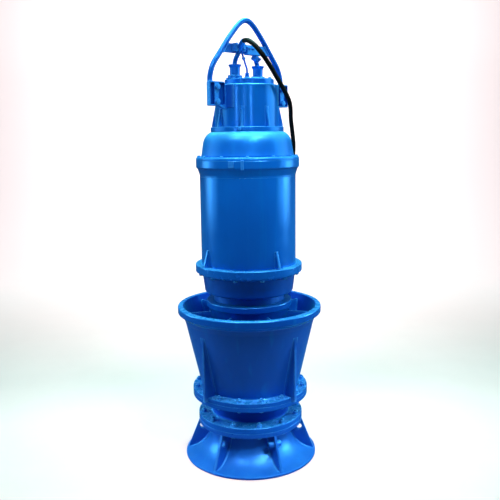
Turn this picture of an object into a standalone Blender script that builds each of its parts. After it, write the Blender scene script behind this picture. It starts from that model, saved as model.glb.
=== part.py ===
"""Submersible axial flow pump, standing on its suction bell.

Metres, +Z up. The origin is on the floor, on the pump's axis, and the side with the view is -Y.
Azimuths of ribs, vanes and gussets are in degrees from -Y, positive towards +X.
"""

import math

import bmesh
import bpy
import numpy as np
from mathutils import Matrix, Vector

# Clearance between pieces that meet
GAP = 0.0003

# Facets of the large castings and of the small turned pieces
LARGE_FACETS = 48
MIDDLE_FACETS = 36
SMALL_FACETS = 20
SHARP_ANGLE = math.radians(34)

# Suction bell
BELL_LIP_RADIUS = 0.3205
BELL_LIP_HEIGHT = 0.013
BELL_FOOT_INNER_RADIUS = 0.298
BELL_FLARE_TOP = 0.158
BELL_NECK_RADIUS = 0.188
BELL_FLANGE_BOTTOM = 0.168
BELL_FLANGE_TOP = 0.190
LOWER_FLANGE_RADIUS = 0.2535
THROAT_RADIUS = 0.170
RIB_AZIMUTHS = (-93, -33, 27, 87, 147, 207)
RIB_THICKNESS = 0.013
RIB_HOLE_RADIUS = 0.0125

# Impeller casing
CASING_FLANGE_TOP = 0.216
CASING_NECK_RADIUS = 0.184
UPPER_FLANGE_RADIUS = 0.2785
UPPER_FLANGE_BOTTOM = 0.3065
UPPER_FLANGE_SEAM = 0.3272

# Impeller
HUB_RADIUS = 0.085
HUB_BOTTOM = 0.196
HUB_TOP = 0.338
NOSE_BOTTOM = 0.118
BLADE_COUNT = 4
BLADE_TIP_RADIUS = 0.1655
BLADE_THICKNESS = 0.010
BLADE_MIDDLE = 0.262

# Diffuser
DIFFUSER_FLANGE_TOP = 0.348
CONE_FOOT_RADIUS = 0.2340
CONE_SLOPE = 0.2298
RIM_RADIUS = 0.3436
RIM_TOP = 0.7500
RIM_INNER_RADIUS = 0.3170
VANE_COUNT = 7
VANE_THICKNESS = 0.011
VANE_BOTTOM = 0.440
VANE_TOP = 0.722
VANE_SWEEP = math.radians(38)
GUSSET_AZIMUTHS = (-45.7, 44.3, 134.3, 224.3)
GUSSET_RADIUS = 0.3000
GUSSET_BOTTOM = 0.3310
GUSSET_THICKNESS = 0.014
HUB_RING_RADIUS = 0.2040
HUB_RING_BOTTOM = 0.749
HUB_RING_TOP = 0.775

# Motor
SPIGOT_RADIUS = 0.168
OIL_CHAMBER_BOTTOM = 0.816
OIL_CHAMBER_FOOT_RADIUS = 0.2105
OIL_CHAMBER_HEAD_RADIUS = 0.2205
MOTOR_FLANGE_RADIUS = 0.2530
MOTOR_FLANGE_BOTTOM = 0.908
MOTOR_FLANGE_TOP = 0.952
MOTOR_GUSSET_AZIMUTHS = (-56, 34, 124, 214)
BARREL_RADIUS = 0.2240
BARREL_TOP = 1.362
HEAD_FLANGE_RADIUS = 0.2405
HEAD_FLANGE_BOTTOM = 1.405
HEAD_FLANGE_STEP = 1.439
HEAD_FLANGE_TOP = 1.453
SHOULDER_TOP = 1.5655
BASE_RING_RADIUS = 0.1690
BASE_RING_TOP = 1.586

# Junction box, its lid and the cable glands
BOX_RADIUS = 0.1461
BOX_TOP = 1.773
BOX_GUSSET_AZIMUTHS = (-98, -53, -8, 37, 82, 127, 172, 217)
LID_CENTRE = (0.012, 0.0, 0.0)
LID_RADIUS = 0.1128
LID_TOP = 1.799
GLAND_OFFSET = 0.069
GLAND_TOP = 1.862

# Lifting bail, in an upright plane turned by this angle from +X
BAIL_YAW = math.radians(41)
BAIL_BAR_RADIUS = 0.0120
BAIL_TOP = 2.058
BAIL_FOOT_OFFSET = 0.2125
BRACKET_BOTTOM = 1.677
BRACKET_TOP = 1.782
BRACKET_THICKNESS = 0.016
LUG_THICKNESS = 0.020
CROSSBAR_BOTTOM = 1.911
CROSSBAR_TOP = 1.952
CROSSBAR_THICKNESS = 0.010
SUPPLY_CLAMP_HEIGHT = 0.036
LEAD_CLAMP_BOTTOM = 1.905

# Supply cable and the coil of its free length
CABLE_RADIUS = 0.0105
CONTROL_LEAD_RADIUS = 0.0045
CABLE_POINT_SPACING = 0.048
COIL_CENTRE = (0.0, 0.600)
COIL_INNER_TURN = 0.187
COIL_OUTER_TURN = 0.209
COIL_LAYERS = 4
CABLE_END_ANGLE = math.radians(30)
CABLE_END_START = 0.106
CABLE_END_LENGTH = 0.080
CABLE_END_RADIUS = 0.0135
CABLE_ROUTE = [
    (-0.026, -0.066, 1.930),
    (-0.0152, -0.1082, 1.9515),
    (0.0142, -0.1603, 1.9474),
    (0.0540, -0.1886, 1.9074),
    (0.1356, -0.1157, 1.7944),
    (0.2015, 0.0311, 1.6810),
    (0.2094, 0.1092, 1.6187),
    (0.2228, 0.1264, 1.4763),
    (0.2027, 0.1582, 1.3367),
    (0.202, 0.178, 1.140),
    (0.192, 0.206, 0.940),
    (0.184, 0.252, 0.840),
    (0.180, 0.305, 0.760),
    (0.179, 0.330, 0.660),
    (0.184, 0.354, 0.540),
    (0.194, 0.386, 0.400),
    (0.203, 0.430, 0.265),
    (0.2085, 0.485, 0.150),
    (0.2095, 0.545, 0.0975),
    (0.2090, 0.605, 0.0790),
]


def cleared_scene():
    """Removes every object and makes the collection of the pump's parts and that of the helpers."""
    for obj in list(bpy.data.objects):
        bpy.data.objects.remove(obj, do_unlink=True)
    parts = bpy.data.collections.new("axial_flow_pump")
    helpers = bpy.data.collections.new("helpers")
    for collection in (parts, helpers):
        bpy.context.scene.collection.children.link(collection)
    return parts, helpers


PARTS, HELPERS = cleared_scene()


def painted(name, colour, roughness, metallic=0.0):
    """A Principled material."""
    material = bpy.data.materials.new(name)
    material.use_nodes = True
    shader = material.node_tree.nodes["Principled BSDF"]
    shader.inputs["Base Color"].default_value = (*colour, 1.0)
    shader.inputs["Roughness"].default_value = roughness
    shader.inputs["Metallic"].default_value = metallic
    return material


BLUE_ENAMEL = painted("blue_enamel", (0.010, 0.130, 0.560), 0.28)
BLACK_RUBBER = painted("black_rubber", (0.012, 0.012, 0.013), 0.55)
BRONZE = painted("bronze", (0.420, 0.250, 0.100), 0.40, 1.0)
SHRINK_SLEEVE = painted("shrink_sleeve", (0.030, 0.030, 0.032), 0.45)


def in_collection(name, data, collection, material):
    obj = bpy.data.objects.new(name, data)
    collection.objects.link(obj)
    if material is not None:
        data.materials.append(material)
    return obj


def as_helper(obj):
    """Keeps a cutter or a joined shape out of the model itself."""
    obj.hide_render = True
    obj.display_type = "WIRE"
    return obj


def turned(name, outline, material, facets=LARGE_FACETS, ring=True, centre=(0, 0, 0)):
    """A profile of (radius, height) turned about the vertical through centre.

    The profile runs down its outer side. A ring's profile closes on itself; a solid's ends are on the axis.
    """
    mesh = bpy.data.meshes.new(name)
    points = [(radius, 0, height) for radius, height in outline]
    edges = [(i, i + 1) for i in range(len(points) - 1)]
    if ring:
        edges.append((len(points) - 1, 0))
    mesh.from_pydata(points, edges, [])
    obj = in_collection(name, mesh, PARTS, material)
    obj.location = centre
    screw = obj.modifiers.new("turned", "SCREW")
    screw.steps = facets
    screw.render_steps = facets
    screw.use_merge_vertices = True
    screw.merge_threshold = 0.00001
    return obj


def joined(name, meshes, collection, material=None):
    """One object of several meshes, whose own places are already in their points."""
    work = bmesh.new()
    for mesh in meshes:
        work.from_mesh(mesh)
        bpy.data.meshes.remove(mesh)
    whole = bpy.data.meshes.new(name)
    work.to_mesh(whole)
    work.free()
    return in_collection(name, whole, collection, material)


def plate(loops, thickness, matrix):
    """A flat plate as a mesh, in its own XY: the first loop is its outline and the others are holes."""
    curve = bpy.data.curves.new("outline", "CURVE")
    curve.dimensions = "2D"
    curve.fill_mode = "BOTH"
    curve.extrude = thickness / 2
    for loop in loops:
        spline = curve.splines.new("POLY")
        spline.points.add(len(loop) - 1)
        for point, (x, y) in zip(spline.points, loop):
            point.co = (x, y, 0, 1)
        spline.use_cyclic_u = True
    holder = in_collection("outline", curve, HELPERS, None)
    graph = bpy.context.evaluated_depsgraph_get()
    mesh = bpy.data.meshes.new_from_object(holder.evaluated_get(graph))
    bpy.data.objects.remove(holder)
    bpy.data.curves.remove(curve)
    work = bmesh.new()
    work.from_mesh(mesh)
    bmesh.ops.remove_doubles(work, verts=work.verts, dist=0.00001)
    bmesh.ops.recalc_face_normals(work, faces=work.faces)
    work.transform(matrix)
    work.to_mesh(mesh)
    work.free()
    return mesh


def round_bar(radius, length, matrix, facets=SMALL_FACETS):
    """A cylinder as a mesh, centred on the matrix and lying along its Z."""
    work = bmesh.new()
    bmesh.ops.create_cone(
        work, cap_ends=True, segments=facets, radius1=radius, radius2=radius, depth=length, matrix=matrix
    )
    mesh = bpy.data.meshes.new("bar")
    work.to_mesh(mesh)
    work.free()
    return mesh


def block(size, matrix, bevel=0.0):
    """A box as a mesh, centred on the matrix, with bevelled edges."""
    work = bmesh.new()
    bmesh.ops.create_cube(work, size=1.0)
    bmesh.ops.scale(work, vec=size, verts=work.verts)
    if bevel:
        bmesh.ops.bevel(work, geom=work.edges, offset=bevel, segments=1, affect="EDGES")
    work.transform(matrix)
    mesh = bpy.data.meshes.new("block")
    work.to_mesh(mesh)
    work.free()
    return mesh


def united(obj, other):
    """Joins another closed shape to the object."""
    modifier = obj.modifiers.new("united", "BOOLEAN")
    modifier.operation = "UNION"
    modifier.object = as_helper(other)
    return obj


def finished(obj):
    """Makes the modifiers' result the object's own mesh, smooth but for its sharp edges."""
    graph = bpy.context.evaluated_depsgraph_get()
    mesh = bpy.data.meshes.new_from_object(obj.evaluated_get(graph))
    obj.modifiers.clear()
    obj.data = mesh
    mesh.shade_smooth()
    mesh.set_sharp_from_angle(angle=SHARP_ANGLE)
    return obj


def tube(name, points, radius, material, resolution=2):
    """A round bar, lead or cable along a line of points, with closed ends."""
    curve = bpy.data.curves.new(name, "CURVE")
    curve.dimensions = "3D"
    curve.bevel_depth = radius
    curve.bevel_resolution = resolution
    curve.use_fill_caps = True
    spline = curve.splines.new("POLY")
    spline.points.add(len(points) - 1)
    for point, place in zip(spline.points, points):
        point.co = (*place, 1)
    spline.use_smooth = True
    return in_collection(name, curve, PARTS, material)


def smooth_route(route, spacing):
    """Evenly spaced points on the natural cubic spline through the route's own points."""
    knots = np.array(route, float)
    last = len(knots) - 1
    steps = np.linalg.norm(np.diff(knots, axis=0), axis=1)
    along = np.concatenate([[0], np.cumsum(steps)])
    system = np.eye(last + 1)
    target = np.zeros((last + 1, 3))
    slopes = np.diff(knots, axis=0) / steps[:, None]
    for i in range(1, last):
        system[i, i - 1 : i + 2] = steps[i - 1], 2 * (steps[i - 1] + steps[i]), steps[i]
        target[i] = 6 * (slopes[i] - slopes[i - 1])
    curvature = np.linalg.solve(system, target)

    def at(distance):
        i = min(int(np.searchsorted(along, distance, side="right")) - 1, last - 1)
        t = distance - along[i]
        first = slopes[i] - steps[i] * (2 * curvature[i] + curvature[i + 1]) / 6
        third = (curvature[i + 1] - curvature[i]) / (6 * steps[i])
        return knots[i] + first * t + curvature[i] / 2 * t**2 + third * t**3

    count = max(3, round(along[-1] / spacing) + 1)
    return [tuple(at(d)) for d in np.linspace(0, along[-1], count)]


def arc(centre, radii, start, end, steps):
    """Points on an ellipse's arc in the profile's plane; angles in degrees from +radius towards +height."""
    angles = np.radians(np.linspace(start, end, steps + 1))
    return [(centre[0] + radii[0] * math.cos(a), centre[1] + radii[1] * math.sin(a)) for a in angles]


def upright(azimuth):
    """The matrix of a radial plate: its X is the radius, its Y is up and its Z is across it."""
    turn = Matrix.Rotation(math.radians(azimuth - 90), 4, "Z")
    return turn @ Matrix.Rotation(math.pi / 2, 4, "X")


def in_bail_plane(along, across, height):
    """The point of the bail's plane, along it, across it towards the viewer, and at a height."""
    return Vector(
        (
            along * math.cos(BAIL_YAW) + across * math.sin(BAIL_YAW),
            along * math.sin(BAIL_YAW) - across * math.cos(BAIL_YAW),
            height,
        )
    )


def bail_frame(along=0.0, across=0.0, height=0.0):
    """The matrix whose X runs along the bail's plane, Y up and Z across it towards the viewer."""
    turn = Matrix.Rotation(BAIL_YAW, 4, "Z") @ Matrix.Rotation(math.pi / 2, 4, "X")
    return Matrix.Translation(in_bail_plane(along, across, height)) @ turn


def cone_radius(height):
    """Outer radius of the diffuser's cone."""
    return CONE_FOOT_RADIUS + CONE_SLOPE * (height - DIFFUSER_FLANGE_TOP)


def inner_cone_radius(height):
    """Inner radius of the diffuser's cone, above its foot."""
    return 0.2215 + 0.2420 * (height - 0.358)


def hub_radius(height):
    """Outer radius of the diffuser's hub."""
    return 0.090 + 0.2620 * (height - 0.340)


def suction_bell():
    """The trumpet that the pump stands on, with its flange and six lifting ribs."""
    flare_centre = (0.3160, BELL_FLARE_TOP)
    outer_radii = (flare_centre[0] - BELL_NECK_RADIUS, BELL_FLARE_TOP - BELL_LIP_HEIGHT)
    inner_radii = (flare_centre[0] - THROAT_RADIUS, BELL_FLARE_TOP - 0.001)
    outer_flare = arc(flare_centre, outer_radii, 180, 266, 8)
    inner_flare = arc(flare_centre, inner_radii, 266, 180, 9)
    inner_flare = [point for point in inner_flare if point[0] < BELL_FOOT_INNER_RADIUS - 0.004]
    outline = [
        (LOWER_FLANGE_RADIUS - 0.002, BELL_FLANGE_TOP),
        (LOWER_FLANGE_RADIUS, BELL_FLANGE_TOP - 0.002),
        (LOWER_FLANGE_RADIUS, BELL_FLANGE_BOTTOM),
        (BELL_NECK_RADIUS + 0.007, BELL_FLANGE_BOTTOM),
        *outer_flare,
        (BELL_LIP_RADIUS - 0.001, BELL_LIP_HEIGHT - 0.002),
        (BELL_LIP_RADIUS, BELL_LIP_HEIGHT - 0.005),
        (BELL_LIP_RADIUS - 0.001, 0),
        (BELL_FOOT_INNER_RADIUS, 0),
        *inner_flare,
        (THROAT_RADIUS, BELL_FLANGE_TOP),
    ]
    bell = turned("suction_bell", outline, BLUE_ENAMEL)
    middle_radii = ((outer_radii[0] + inner_radii[0]) / 2, (outer_radii[1] + inner_radii[1]) / 2)
    rib_outline = [
        (LOWER_FLANGE_RADIUS - 0.0035, BELL_FLANGE_BOTTOM + 0.006),
        (0.3140, BELL_LIP_HEIGHT - 0.004),
        *arc(flare_centre, middle_radii, 258, 180, 6),
        (BELL_NECK_RADIUS - 0.007, BELL_FLANGE_BOTTOM + 0.006),
    ]
    hole = arc((0.2415, 0.1240), (RIB_HOLE_RADIUS, RIB_HOLE_RADIUS), 0, 330, 11)
    ribs = [plate([rib_outline, hole], RIB_THICKNESS, upright(azimuth)) for azimuth in RIB_AZIMUTHS]
    united(bell, joined("bell_ribs", ribs, HELPERS))
    finished(bell)


def impeller_casing():
    """The short ring that the impeller turns in, with a flange at each end."""
    bottom = BELL_FLANGE_TOP + GAP
    outline = [
        (UPPER_FLANGE_RADIUS, UPPER_FLANGE_SEAM),
        (UPPER_FLANGE_RADIUS, UPPER_FLANGE_BOTTOM + 0.002),
        (UPPER_FLANGE_RADIUS - 0.002, UPPER_FLANGE_BOTTOM),
        (CASING_NECK_RADIUS + 0.010, UPPER_FLANGE_BOTTOM),
        (CASING_NECK_RADIUS, UPPER_FLANGE_BOTTOM - 0.010),
        (CASING_NECK_RADIUS, CASING_FLANGE_TOP + 0.012),
        (CASING_NECK_RADIUS + 0.012, CASING_FLANGE_TOP),
        (LOWER_FLANGE_RADIUS - 0.002, CASING_FLANGE_TOP),
        (LOWER_FLANGE_RADIUS, CASING_FLANGE_TOP - 0.002),
        (LOWER_FLANGE_RADIUS, bottom),
        (THROAT_RADIUS, bottom),
        (THROAT_RADIUS, UPPER_FLANGE_SEAM),
    ]
    finished(turned("impeller_casing", outline, BLUE_ENAMEL))


def impeller():
    """The hub with its nose, and the blades set into it."""
    hub = [
        (0, HUB_TOP),
        (HUB_RADIUS - 0.003, HUB_TOP),
        (HUB_RADIUS, HUB_TOP - 0.003),
        (HUB_RADIUS, HUB_BOTTOM),
        (0, HUB_BOTTOM),
    ]
    finished(turned("impeller_hub", hub, BRONZE, MIDDLE_FACETS, ring=False))
    nose_top = HUB_BOTTOM - GAP
    nose = [(0, nose_top), *arc((0, nose_top), (HUB_RADIUS - 0.001, nose_top - NOSE_BOTTOM), 0, -90, 6)]
    finished(turned("impeller_nose", nose, BRONZE, MIDDLE_FACETS, ring=False))
    root_radius = HUB_RADIUS + 0.0030
    chord = 0.125
    for number in range(BLADE_COUNT):
        work = bmesh.new()
        bmesh.ops.create_grid(work, x_segments=10, y_segments=3, size=0.5)
        for vertex in work.verts:
            radius = root_radius + (BLADE_TIP_RADIUS - root_radius) * (vertex.co.y + 0.5)
            pitch = math.atan2(HUB_RADIUS * math.tan(math.radians(40)), radius)
            turn = vertex.co.x * chord * math.cos(pitch) / root_radius + 2 * math.pi * number / BLADE_COUNT
            rise = vertex.co.x * chord * math.sin(pitch)
            vertex.co = (radius * math.cos(turn), radius * math.sin(turn), BLADE_MIDDLE + rise)
        bmesh.ops.recalc_face_normals(work, faces=work.faces)
        mesh = bpy.data.meshes.new("blade")
        work.to_mesh(mesh)
        work.free()
        blade = in_collection(f"impeller_blade_{number + 1}", mesh, PARTS, BRONZE)
        solid = blade.modifiers.new("thickness", "SOLIDIFY")
        solid.thickness = BLADE_THICKNESS
        solid.offset = 0
        finished(blade)


def diffuser_shell():
    """The widening cone round the guide vanes, with its flange, its seat rim and four gussets."""
    bottom = UPPER_FLANGE_SEAM + GAP
    outline = [
        (RIM_RADIUS - 0.005, RIM_TOP),
        (RIM_RADIUS - 0.001, RIM_TOP - 0.003),
        (RIM_RADIUS, RIM_TOP - 0.008),
        (RIM_RADIUS, RIM_TOP - 0.026),
        (RIM_RADIUS - 0.006, RIM_TOP - 0.038),
        (cone_radius(0.690) + 0.006, 0.690),
        (cone_radius(0.672), 0.672),
        (cone_radius(DIFFUSER_FLANGE_TOP + 0.016), DIFFUSER_FLANGE_TOP + 0.016),
        (CONE_FOOT_RADIUS + 0.009, DIFFUSER_FLANGE_TOP),
        (UPPER_FLANGE_RADIUS - 0.002, DIFFUSER_FLANGE_TOP),
        (UPPER_FLANGE_RADIUS, DIFFUSER_FLANGE_TOP - 0.002),
        (UPPER_FLANGE_RADIUS, bottom),
        (THROAT_RADIUS, bottom),
        (0.192, 0.338),
        (inner_cone_radius(0.365), 0.365),
        (inner_cone_radius(0.700), 0.700),
        (RIM_INNER_RADIUS - 0.002, RIM_TOP - 0.010),
        (RIM_INNER_RADIUS, RIM_TOP),
    ]
    shell = turned("diffuser_shell", outline, BLUE_ENAMEL)
    gusset_top = DIFFUSER_FLANGE_TOP + (GUSSET_RADIUS - CONE_FOOT_RADIUS) / CONE_SLOPE
    wall = 0.006
    gusset_outline = [
        (GUSSET_RADIUS, gusset_top),
        (GUSSET_RADIUS, GUSSET_BOTTOM),
        (UPPER_FLANGE_RADIUS - 0.018, GUSSET_BOTTOM),
        (CONE_FOOT_RADIUS - wall, DIFFUSER_FLANGE_TOP - 0.006),
        (cone_radius(gusset_top + 0.02) - wall, gusset_top + 0.02),
    ]
    gussets = [plate([gusset_outline], GUSSET_THICKNESS, upright(azimuth)) for azimuth in GUSSET_AZIMUTHS]
    united(shell, joined("diffuser_gussets", gussets, HELPERS))
    finished(shell)


def diffuser_hub():
    """The bowl that the guide vanes carry, with the ring that the motor stands on."""
    foot = HUB_TOP + 0.002
    outline = [
        (0, HUB_RING_TOP),
        (HUB_RING_RADIUS - 0.003, HUB_RING_TOP),
        (HUB_RING_RADIUS, HUB_RING_TOP - 0.003),
        (HUB_RING_RADIUS, HUB_RING_BOTTOM),
        (hub_radius(HUB_RING_BOTTOM - 0.005), HUB_RING_BOTTOM - 0.005),
        (hub_radius(foot + 0.006), foot + 0.006),
        (hub_radius(foot) - 0.006, foot),
        (0, foot),
    ]
    finished(turned("diffuser_hub", outline, BLUE_ENAMEL, ring=False))


def guide_vanes():
    """The curved vanes between the hub and the shell, upright at their tops."""
    facet_inset = math.cos(math.pi / LARGE_FACETS)
    rows = 9
    for number in range(VANE_COUNT):
        points = []
        for row in range(rows):
            share = row / (rows - 1)
            height = VANE_BOTTOM + (VANE_TOP - VANE_BOTTOM) * share
            turn = math.radians(90 + 360 * number / VANE_COUNT) - VANE_SWEEP * (1 - share) ** 2
            lean = 2 * VANE_SWEEP * (1 - share) / (VANE_TOP - VANE_BOTTOM)
            for radius in (hub_radius(height) + 0.0009, inner_cone_radius(height) * facet_inset - GAP):
                half = VANE_THICKNESS / 2 * math.hypot(1, radius * lean) / radius
                for angle in (turn - half, turn + half):
                    points.append((radius * math.cos(angle), radius * math.sin(angle), height))
        faces = [(0, 1, 3, 2), (4 * rows - 4, 4 * rows - 2, 4 * rows - 1, 4 * rows - 3)]
        for low in range(0, 4 * (rows - 1), 4):
            for first, second in ((0, 2), (2, 3), (3, 1), (1, 0)):
                faces.append((low + first, low + second, low + second + 4, low + first + 4))
        mesh = bpy.data.meshes.new("vane")
        mesh.from_pydata(points, [], faces)
        vane = joined(f"guide_vane_{number + 1}", [mesh], PARTS, BLUE_ENAMEL)
        finished(vane)


def motor_foot():
    """The spigot that joins the motor to the hub, and the oil chamber above it."""
    low = HUB_RING_TOP + GAP
    high = OIL_CHAMBER_BOTTOM - GAP
    spigot = [(0, high), (SPIGOT_RADIUS, high), (SPIGOT_RADIUS, low), (0, low)]
    finished(turned("motor_spigot", spigot, BLUE_ENAMEL, MIDDLE_FACETS, ring=False))
    top = MOTOR_FLANGE_BOTTOM - GAP
    chamber = [
        (0, top),
        (OIL_CHAMBER_HEAD_RADIUS, top),
        (OIL_CHAMBER_HEAD_RADIUS - 0.003, top - 0.030),
        (OIL_CHAMBER_FOOT_RADIUS, OIL_CHAMBER_BOTTOM + 0.006),
        (OIL_CHAMBER_FOOT_RADIUS - 0.006, OIL_CHAMBER_BOTTOM),
        (0, OIL_CHAMBER_BOTTOM),
    ]
    finished(turned("oil_chamber", chamber, BLUE_ENAMEL, ring=False))


def motor_lower_flange():
    """The flange under the motor barrel, with four small gussets that stand on it."""
    outline = [
        (0, MOTOR_FLANGE_TOP),
        (MOTOR_FLANGE_RADIUS - 0.004, MOTOR_FLANGE_TOP),
        (MOTOR_FLANGE_RADIUS, MOTOR_FLANGE_TOP - 0.004),
        (MOTOR_FLANGE_RADIUS, MOTOR_FLANGE_BOTTOM + 0.010),
        (MOTOR_FLANGE_RADIUS - 0.012, MOTOR_FLANGE_BOTTOM),
        (0, MOTOR_FLANGE_BOTTOM),
    ]
    flange = turned("motor_lower_flange", outline, BLUE_ENAMEL, ring=False)
    inner = BARREL_RADIUS + 0.0008
    gusset_outline = [
        (MOTOR_FLANGE_RADIUS - 0.005, MOTOR_FLANGE_TOP - 0.004),
        (inner, MOTOR_FLANGE_TOP - 0.004),
        (inner, MOTOR_FLANGE_TOP + 0.078),
        (inner + 0.004, MOTOR_FLANGE_TOP + 0.078),
        (MOTOR_FLANGE_RADIUS - 0.005, MOTOR_FLANGE_TOP + 0.010),
    ]
    gussets = [plate([gusset_outline], 0.012, upright(azimuth)) for azimuth in MOTOR_GUSSET_AZIMUTHS]
    united(flange, joined("motor_gussets", gussets, HELPERS))
    finished(flange)


def motor_barrel():
    low = MOTOR_FLANGE_TOP + GAP
    outline = [(0, BARREL_TOP), (BARREL_RADIUS, BARREL_TOP), (BARREL_RADIUS, low), (0, low)]
    finished(turned("motor_barrel", outline, BLUE_ENAMEL, ring=False))


def motor_head():
    """The motor's upper flange and the rounded shoulder that the junction box stands on."""
    low = BARREL_TOP + GAP
    flange = [
        (0, HEAD_FLANGE_TOP),
        (HEAD_FLANGE_RADIUS - 0.006, HEAD_FLANGE_TOP),
        (HEAD_FLANGE_RADIUS - 0.002, HEAD_FLANGE_TOP - 0.004),
        (HEAD_FLANGE_RADIUS, HEAD_FLANGE_STEP),
        (HEAD_FLANGE_RADIUS, HEAD_FLANGE_BOTTOM),
        (HEAD_FLANGE_RADIUS - 0.007, HEAD_FLANGE_BOTTOM - 0.008),
        (BARREL_RADIUS + 0.0005, low + 0.008),
        (BARREL_RADIUS, low),
        (0, low),
    ]
    finished(turned("motor_upper_flange", flange, BLUE_ENAMEL, ring=False))
    foot = HEAD_FLANGE_TOP + GAP
    shoulder = [
        (0, SHOULDER_TOP),
        (BASE_RING_RADIUS - 0.002, SHOULDER_TOP),
        (0.1740, 1.5610),
        (0.1845, 1.5540),
        (0.1945, 1.5430),
        (0.2020, 1.5280),
        (0.2075, 1.5050),
        (0.2120, 1.4740),
        (0.2150, foot),
        (0, foot),
    ]
    finished(turned("motor_shoulder", shoulder, BLUE_ENAMEL, ring=False))
    ring_low = SHOULDER_TOP + GAP
    ring = [
        (0, BASE_RING_TOP),
        (BASE_RING_RADIUS, BASE_RING_TOP),
        (BASE_RING_RADIUS, ring_low),
        (0, ring_low),
    ]
    finished(turned("box_base_ring", ring, BLUE_ENAMEL, MIDDLE_FACETS, ring=False))


def junction_box():
    """The drum where the cables enter, with eight gussets at its foot and two lugs for the bail."""
    low = BASE_RING_TOP + GAP
    outline = [
        (0, BOX_TOP),
        (BOX_RADIUS - 0.005, BOX_TOP),
        (BOX_RADIUS, BOX_TOP - 0.005),
        (BOX_RADIUS, low),
        (0, low),
    ]
    box = turned("junction_box", outline, BLUE_ENAMEL, MIDDLE_FACETS, ring=False)
    inner = BOX_RADIUS - 0.010
    gusset_outline = [
        (inner, low),
        (BASE_RING_RADIUS - 0.003, low),
        (BASE_RING_RADIUS - 0.003, low + 0.010),
        (BOX_RADIUS + 0.002, low + 0.090),
        (inner, low + 0.090),
    ]
    shapes = [plate([gusset_outline], 0.011, upright(azimuth)) for azimuth in BOX_GUSSET_AZIMUTHS]
    across = BRACKET_THICKNESS / 2 + GAP + LUG_THICKNESS / 2
    for side in (-1, 1):
        lug_outline = [
            (side * 0.120, BRACKET_TOP - 0.016),
            (side * 0.120, BRACKET_BOTTOM - 0.014),
            (side * 0.155, BRACKET_BOTTOM - 0.014),
            (side * 0.185, BRACKET_BOTTOM),
            (side * 0.236, BRACKET_BOTTOM),
            (side * 0.236, BRACKET_TOP),
            (side * 0.155, BRACKET_TOP),
            (side * 0.150, BRACKET_TOP - 0.016),
        ]
        shapes.append(plate([lug_outline], LUG_THICKNESS, bail_frame(across=across)))
    for number, mesh in enumerate(shapes):
        united(box, joined(f"box_shape_{number + 1}", [mesh], HELPERS))
    finished(box)


def box_lid():
    low = BOX_TOP + GAP
    outline = [
        (0, LID_TOP),
        (LID_RADIUS - 0.004, LID_TOP),
        (LID_RADIUS, LID_TOP - 0.004),
        (LID_RADIUS, low),
        (0, low),
    ]
    finished(turned("box_lid", outline, BLUE_ENAMEL, MIDDLE_FACETS, ring=False, centre=LID_CENTRE))


def glands():
    """Two flared cable glands and a small one for the control lead, in line with the bail."""
    foot = LID_TOP + GAP
    for side, name in ((-1, "gland_left"), (1, "gland_right")):
        outline = [
            (0, GLAND_TOP),
            (0.0290, GLAND_TOP),
            (0.0290, GLAND_TOP - 0.003),
            (0.0235, GLAND_TOP - 0.013),
            (0.0225, foot + 0.014),
            (0.0330, foot + 0.012),
            (0.0330, foot),
            (0, foot),
        ]
        centre = in_bail_plane(side * GLAND_OFFSET, 0, 0)
        finished(turned(name, outline, BLUE_ENAMEL, SMALL_FACETS, ring=False, centre=centre))
    outline = [
        (0, foot + 0.030),
        (0.0085, foot + 0.030),
        (0.0110, foot + 0.012),
        (0.0150, foot + 0.010),
        (0.0150, foot),
        (0, foot),
    ]
    centre = in_bail_plane(0, 0.004, 0)
    finished(turned("gland_control", outline, BLUE_ENAMEL, SMALL_FACETS, ring=False, centre=centre))


def painted_leads():
    """The stretches of cable between the glands and the crossbar, painted over with the pump."""
    hanging = smooth_route(CABLE_ROUTE, CABLE_POINT_SPACING)
    cable_start = Vector(hanging[0])
    heading = (Vector(hanging[1]) - cable_start).normalized()
    left = [
        in_bail_plane(-GLAND_OFFSET, 0, GLAND_TOP + 0.004),
        in_bail_plane(-GLAND_OFFSET, 0.0025, GLAND_TOP + 0.014),
        in_bail_plane(-0.068, 0.009, 1.890),
        in_bail_plane(-0.065, 0.0165, 1.904),
        cable_start - 0.008 * heading,
    ]
    right = [
        in_bail_plane(GLAND_OFFSET - 0.004, 0, GLAND_TOP + 0.004),
        in_bail_plane(0.060, 0.002, GLAND_TOP + 0.014),
        in_bail_plane(0.049, 0.009, 1.889),
        in_bail_plane(0.041, 0.016, 1.901),
    ]
    control = [
        in_bail_plane(0, 0.004, LID_TOP + 0.036),
        in_bail_plane(-0.004, 0.007, LID_TOP + 0.047),
        in_bail_plane(-0.017, 0.012, 1.866),
        in_bail_plane(-0.030, 0.017, 1.888),
        in_bail_plane(-0.039, 0.020, 1.902),
        in_bail_plane(-0.043, 0.021, 1.911),
    ]
    supply_clamp_bottom = CROSSBAR_TOP - SUPPLY_CLAMP_HEIGHT
    for name, route, seat, end, radius in (
        ("lead_left", left, GLAND_TOP, None, CABLE_RADIUS),
        ("lead_right", right, GLAND_TOP, LEAD_CLAMP_BOTTOM, CABLE_RADIUS),
        ("lead_control", control, LID_TOP + 0.030 + GAP, supply_clamp_bottom, CONTROL_LEAD_RADIUS),
    ):
        first = Vector((route[0][0], route[0][1], seat + GAP))
        if end is None:
            last = cable_start - GAP * heading
        else:
            last = Vector((route[-1][0], route[-1][1], end - GAP))
        tube(name, [first, *smooth_route(route, 0.012), last], radius, BLUE_ENAMEL)


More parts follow.
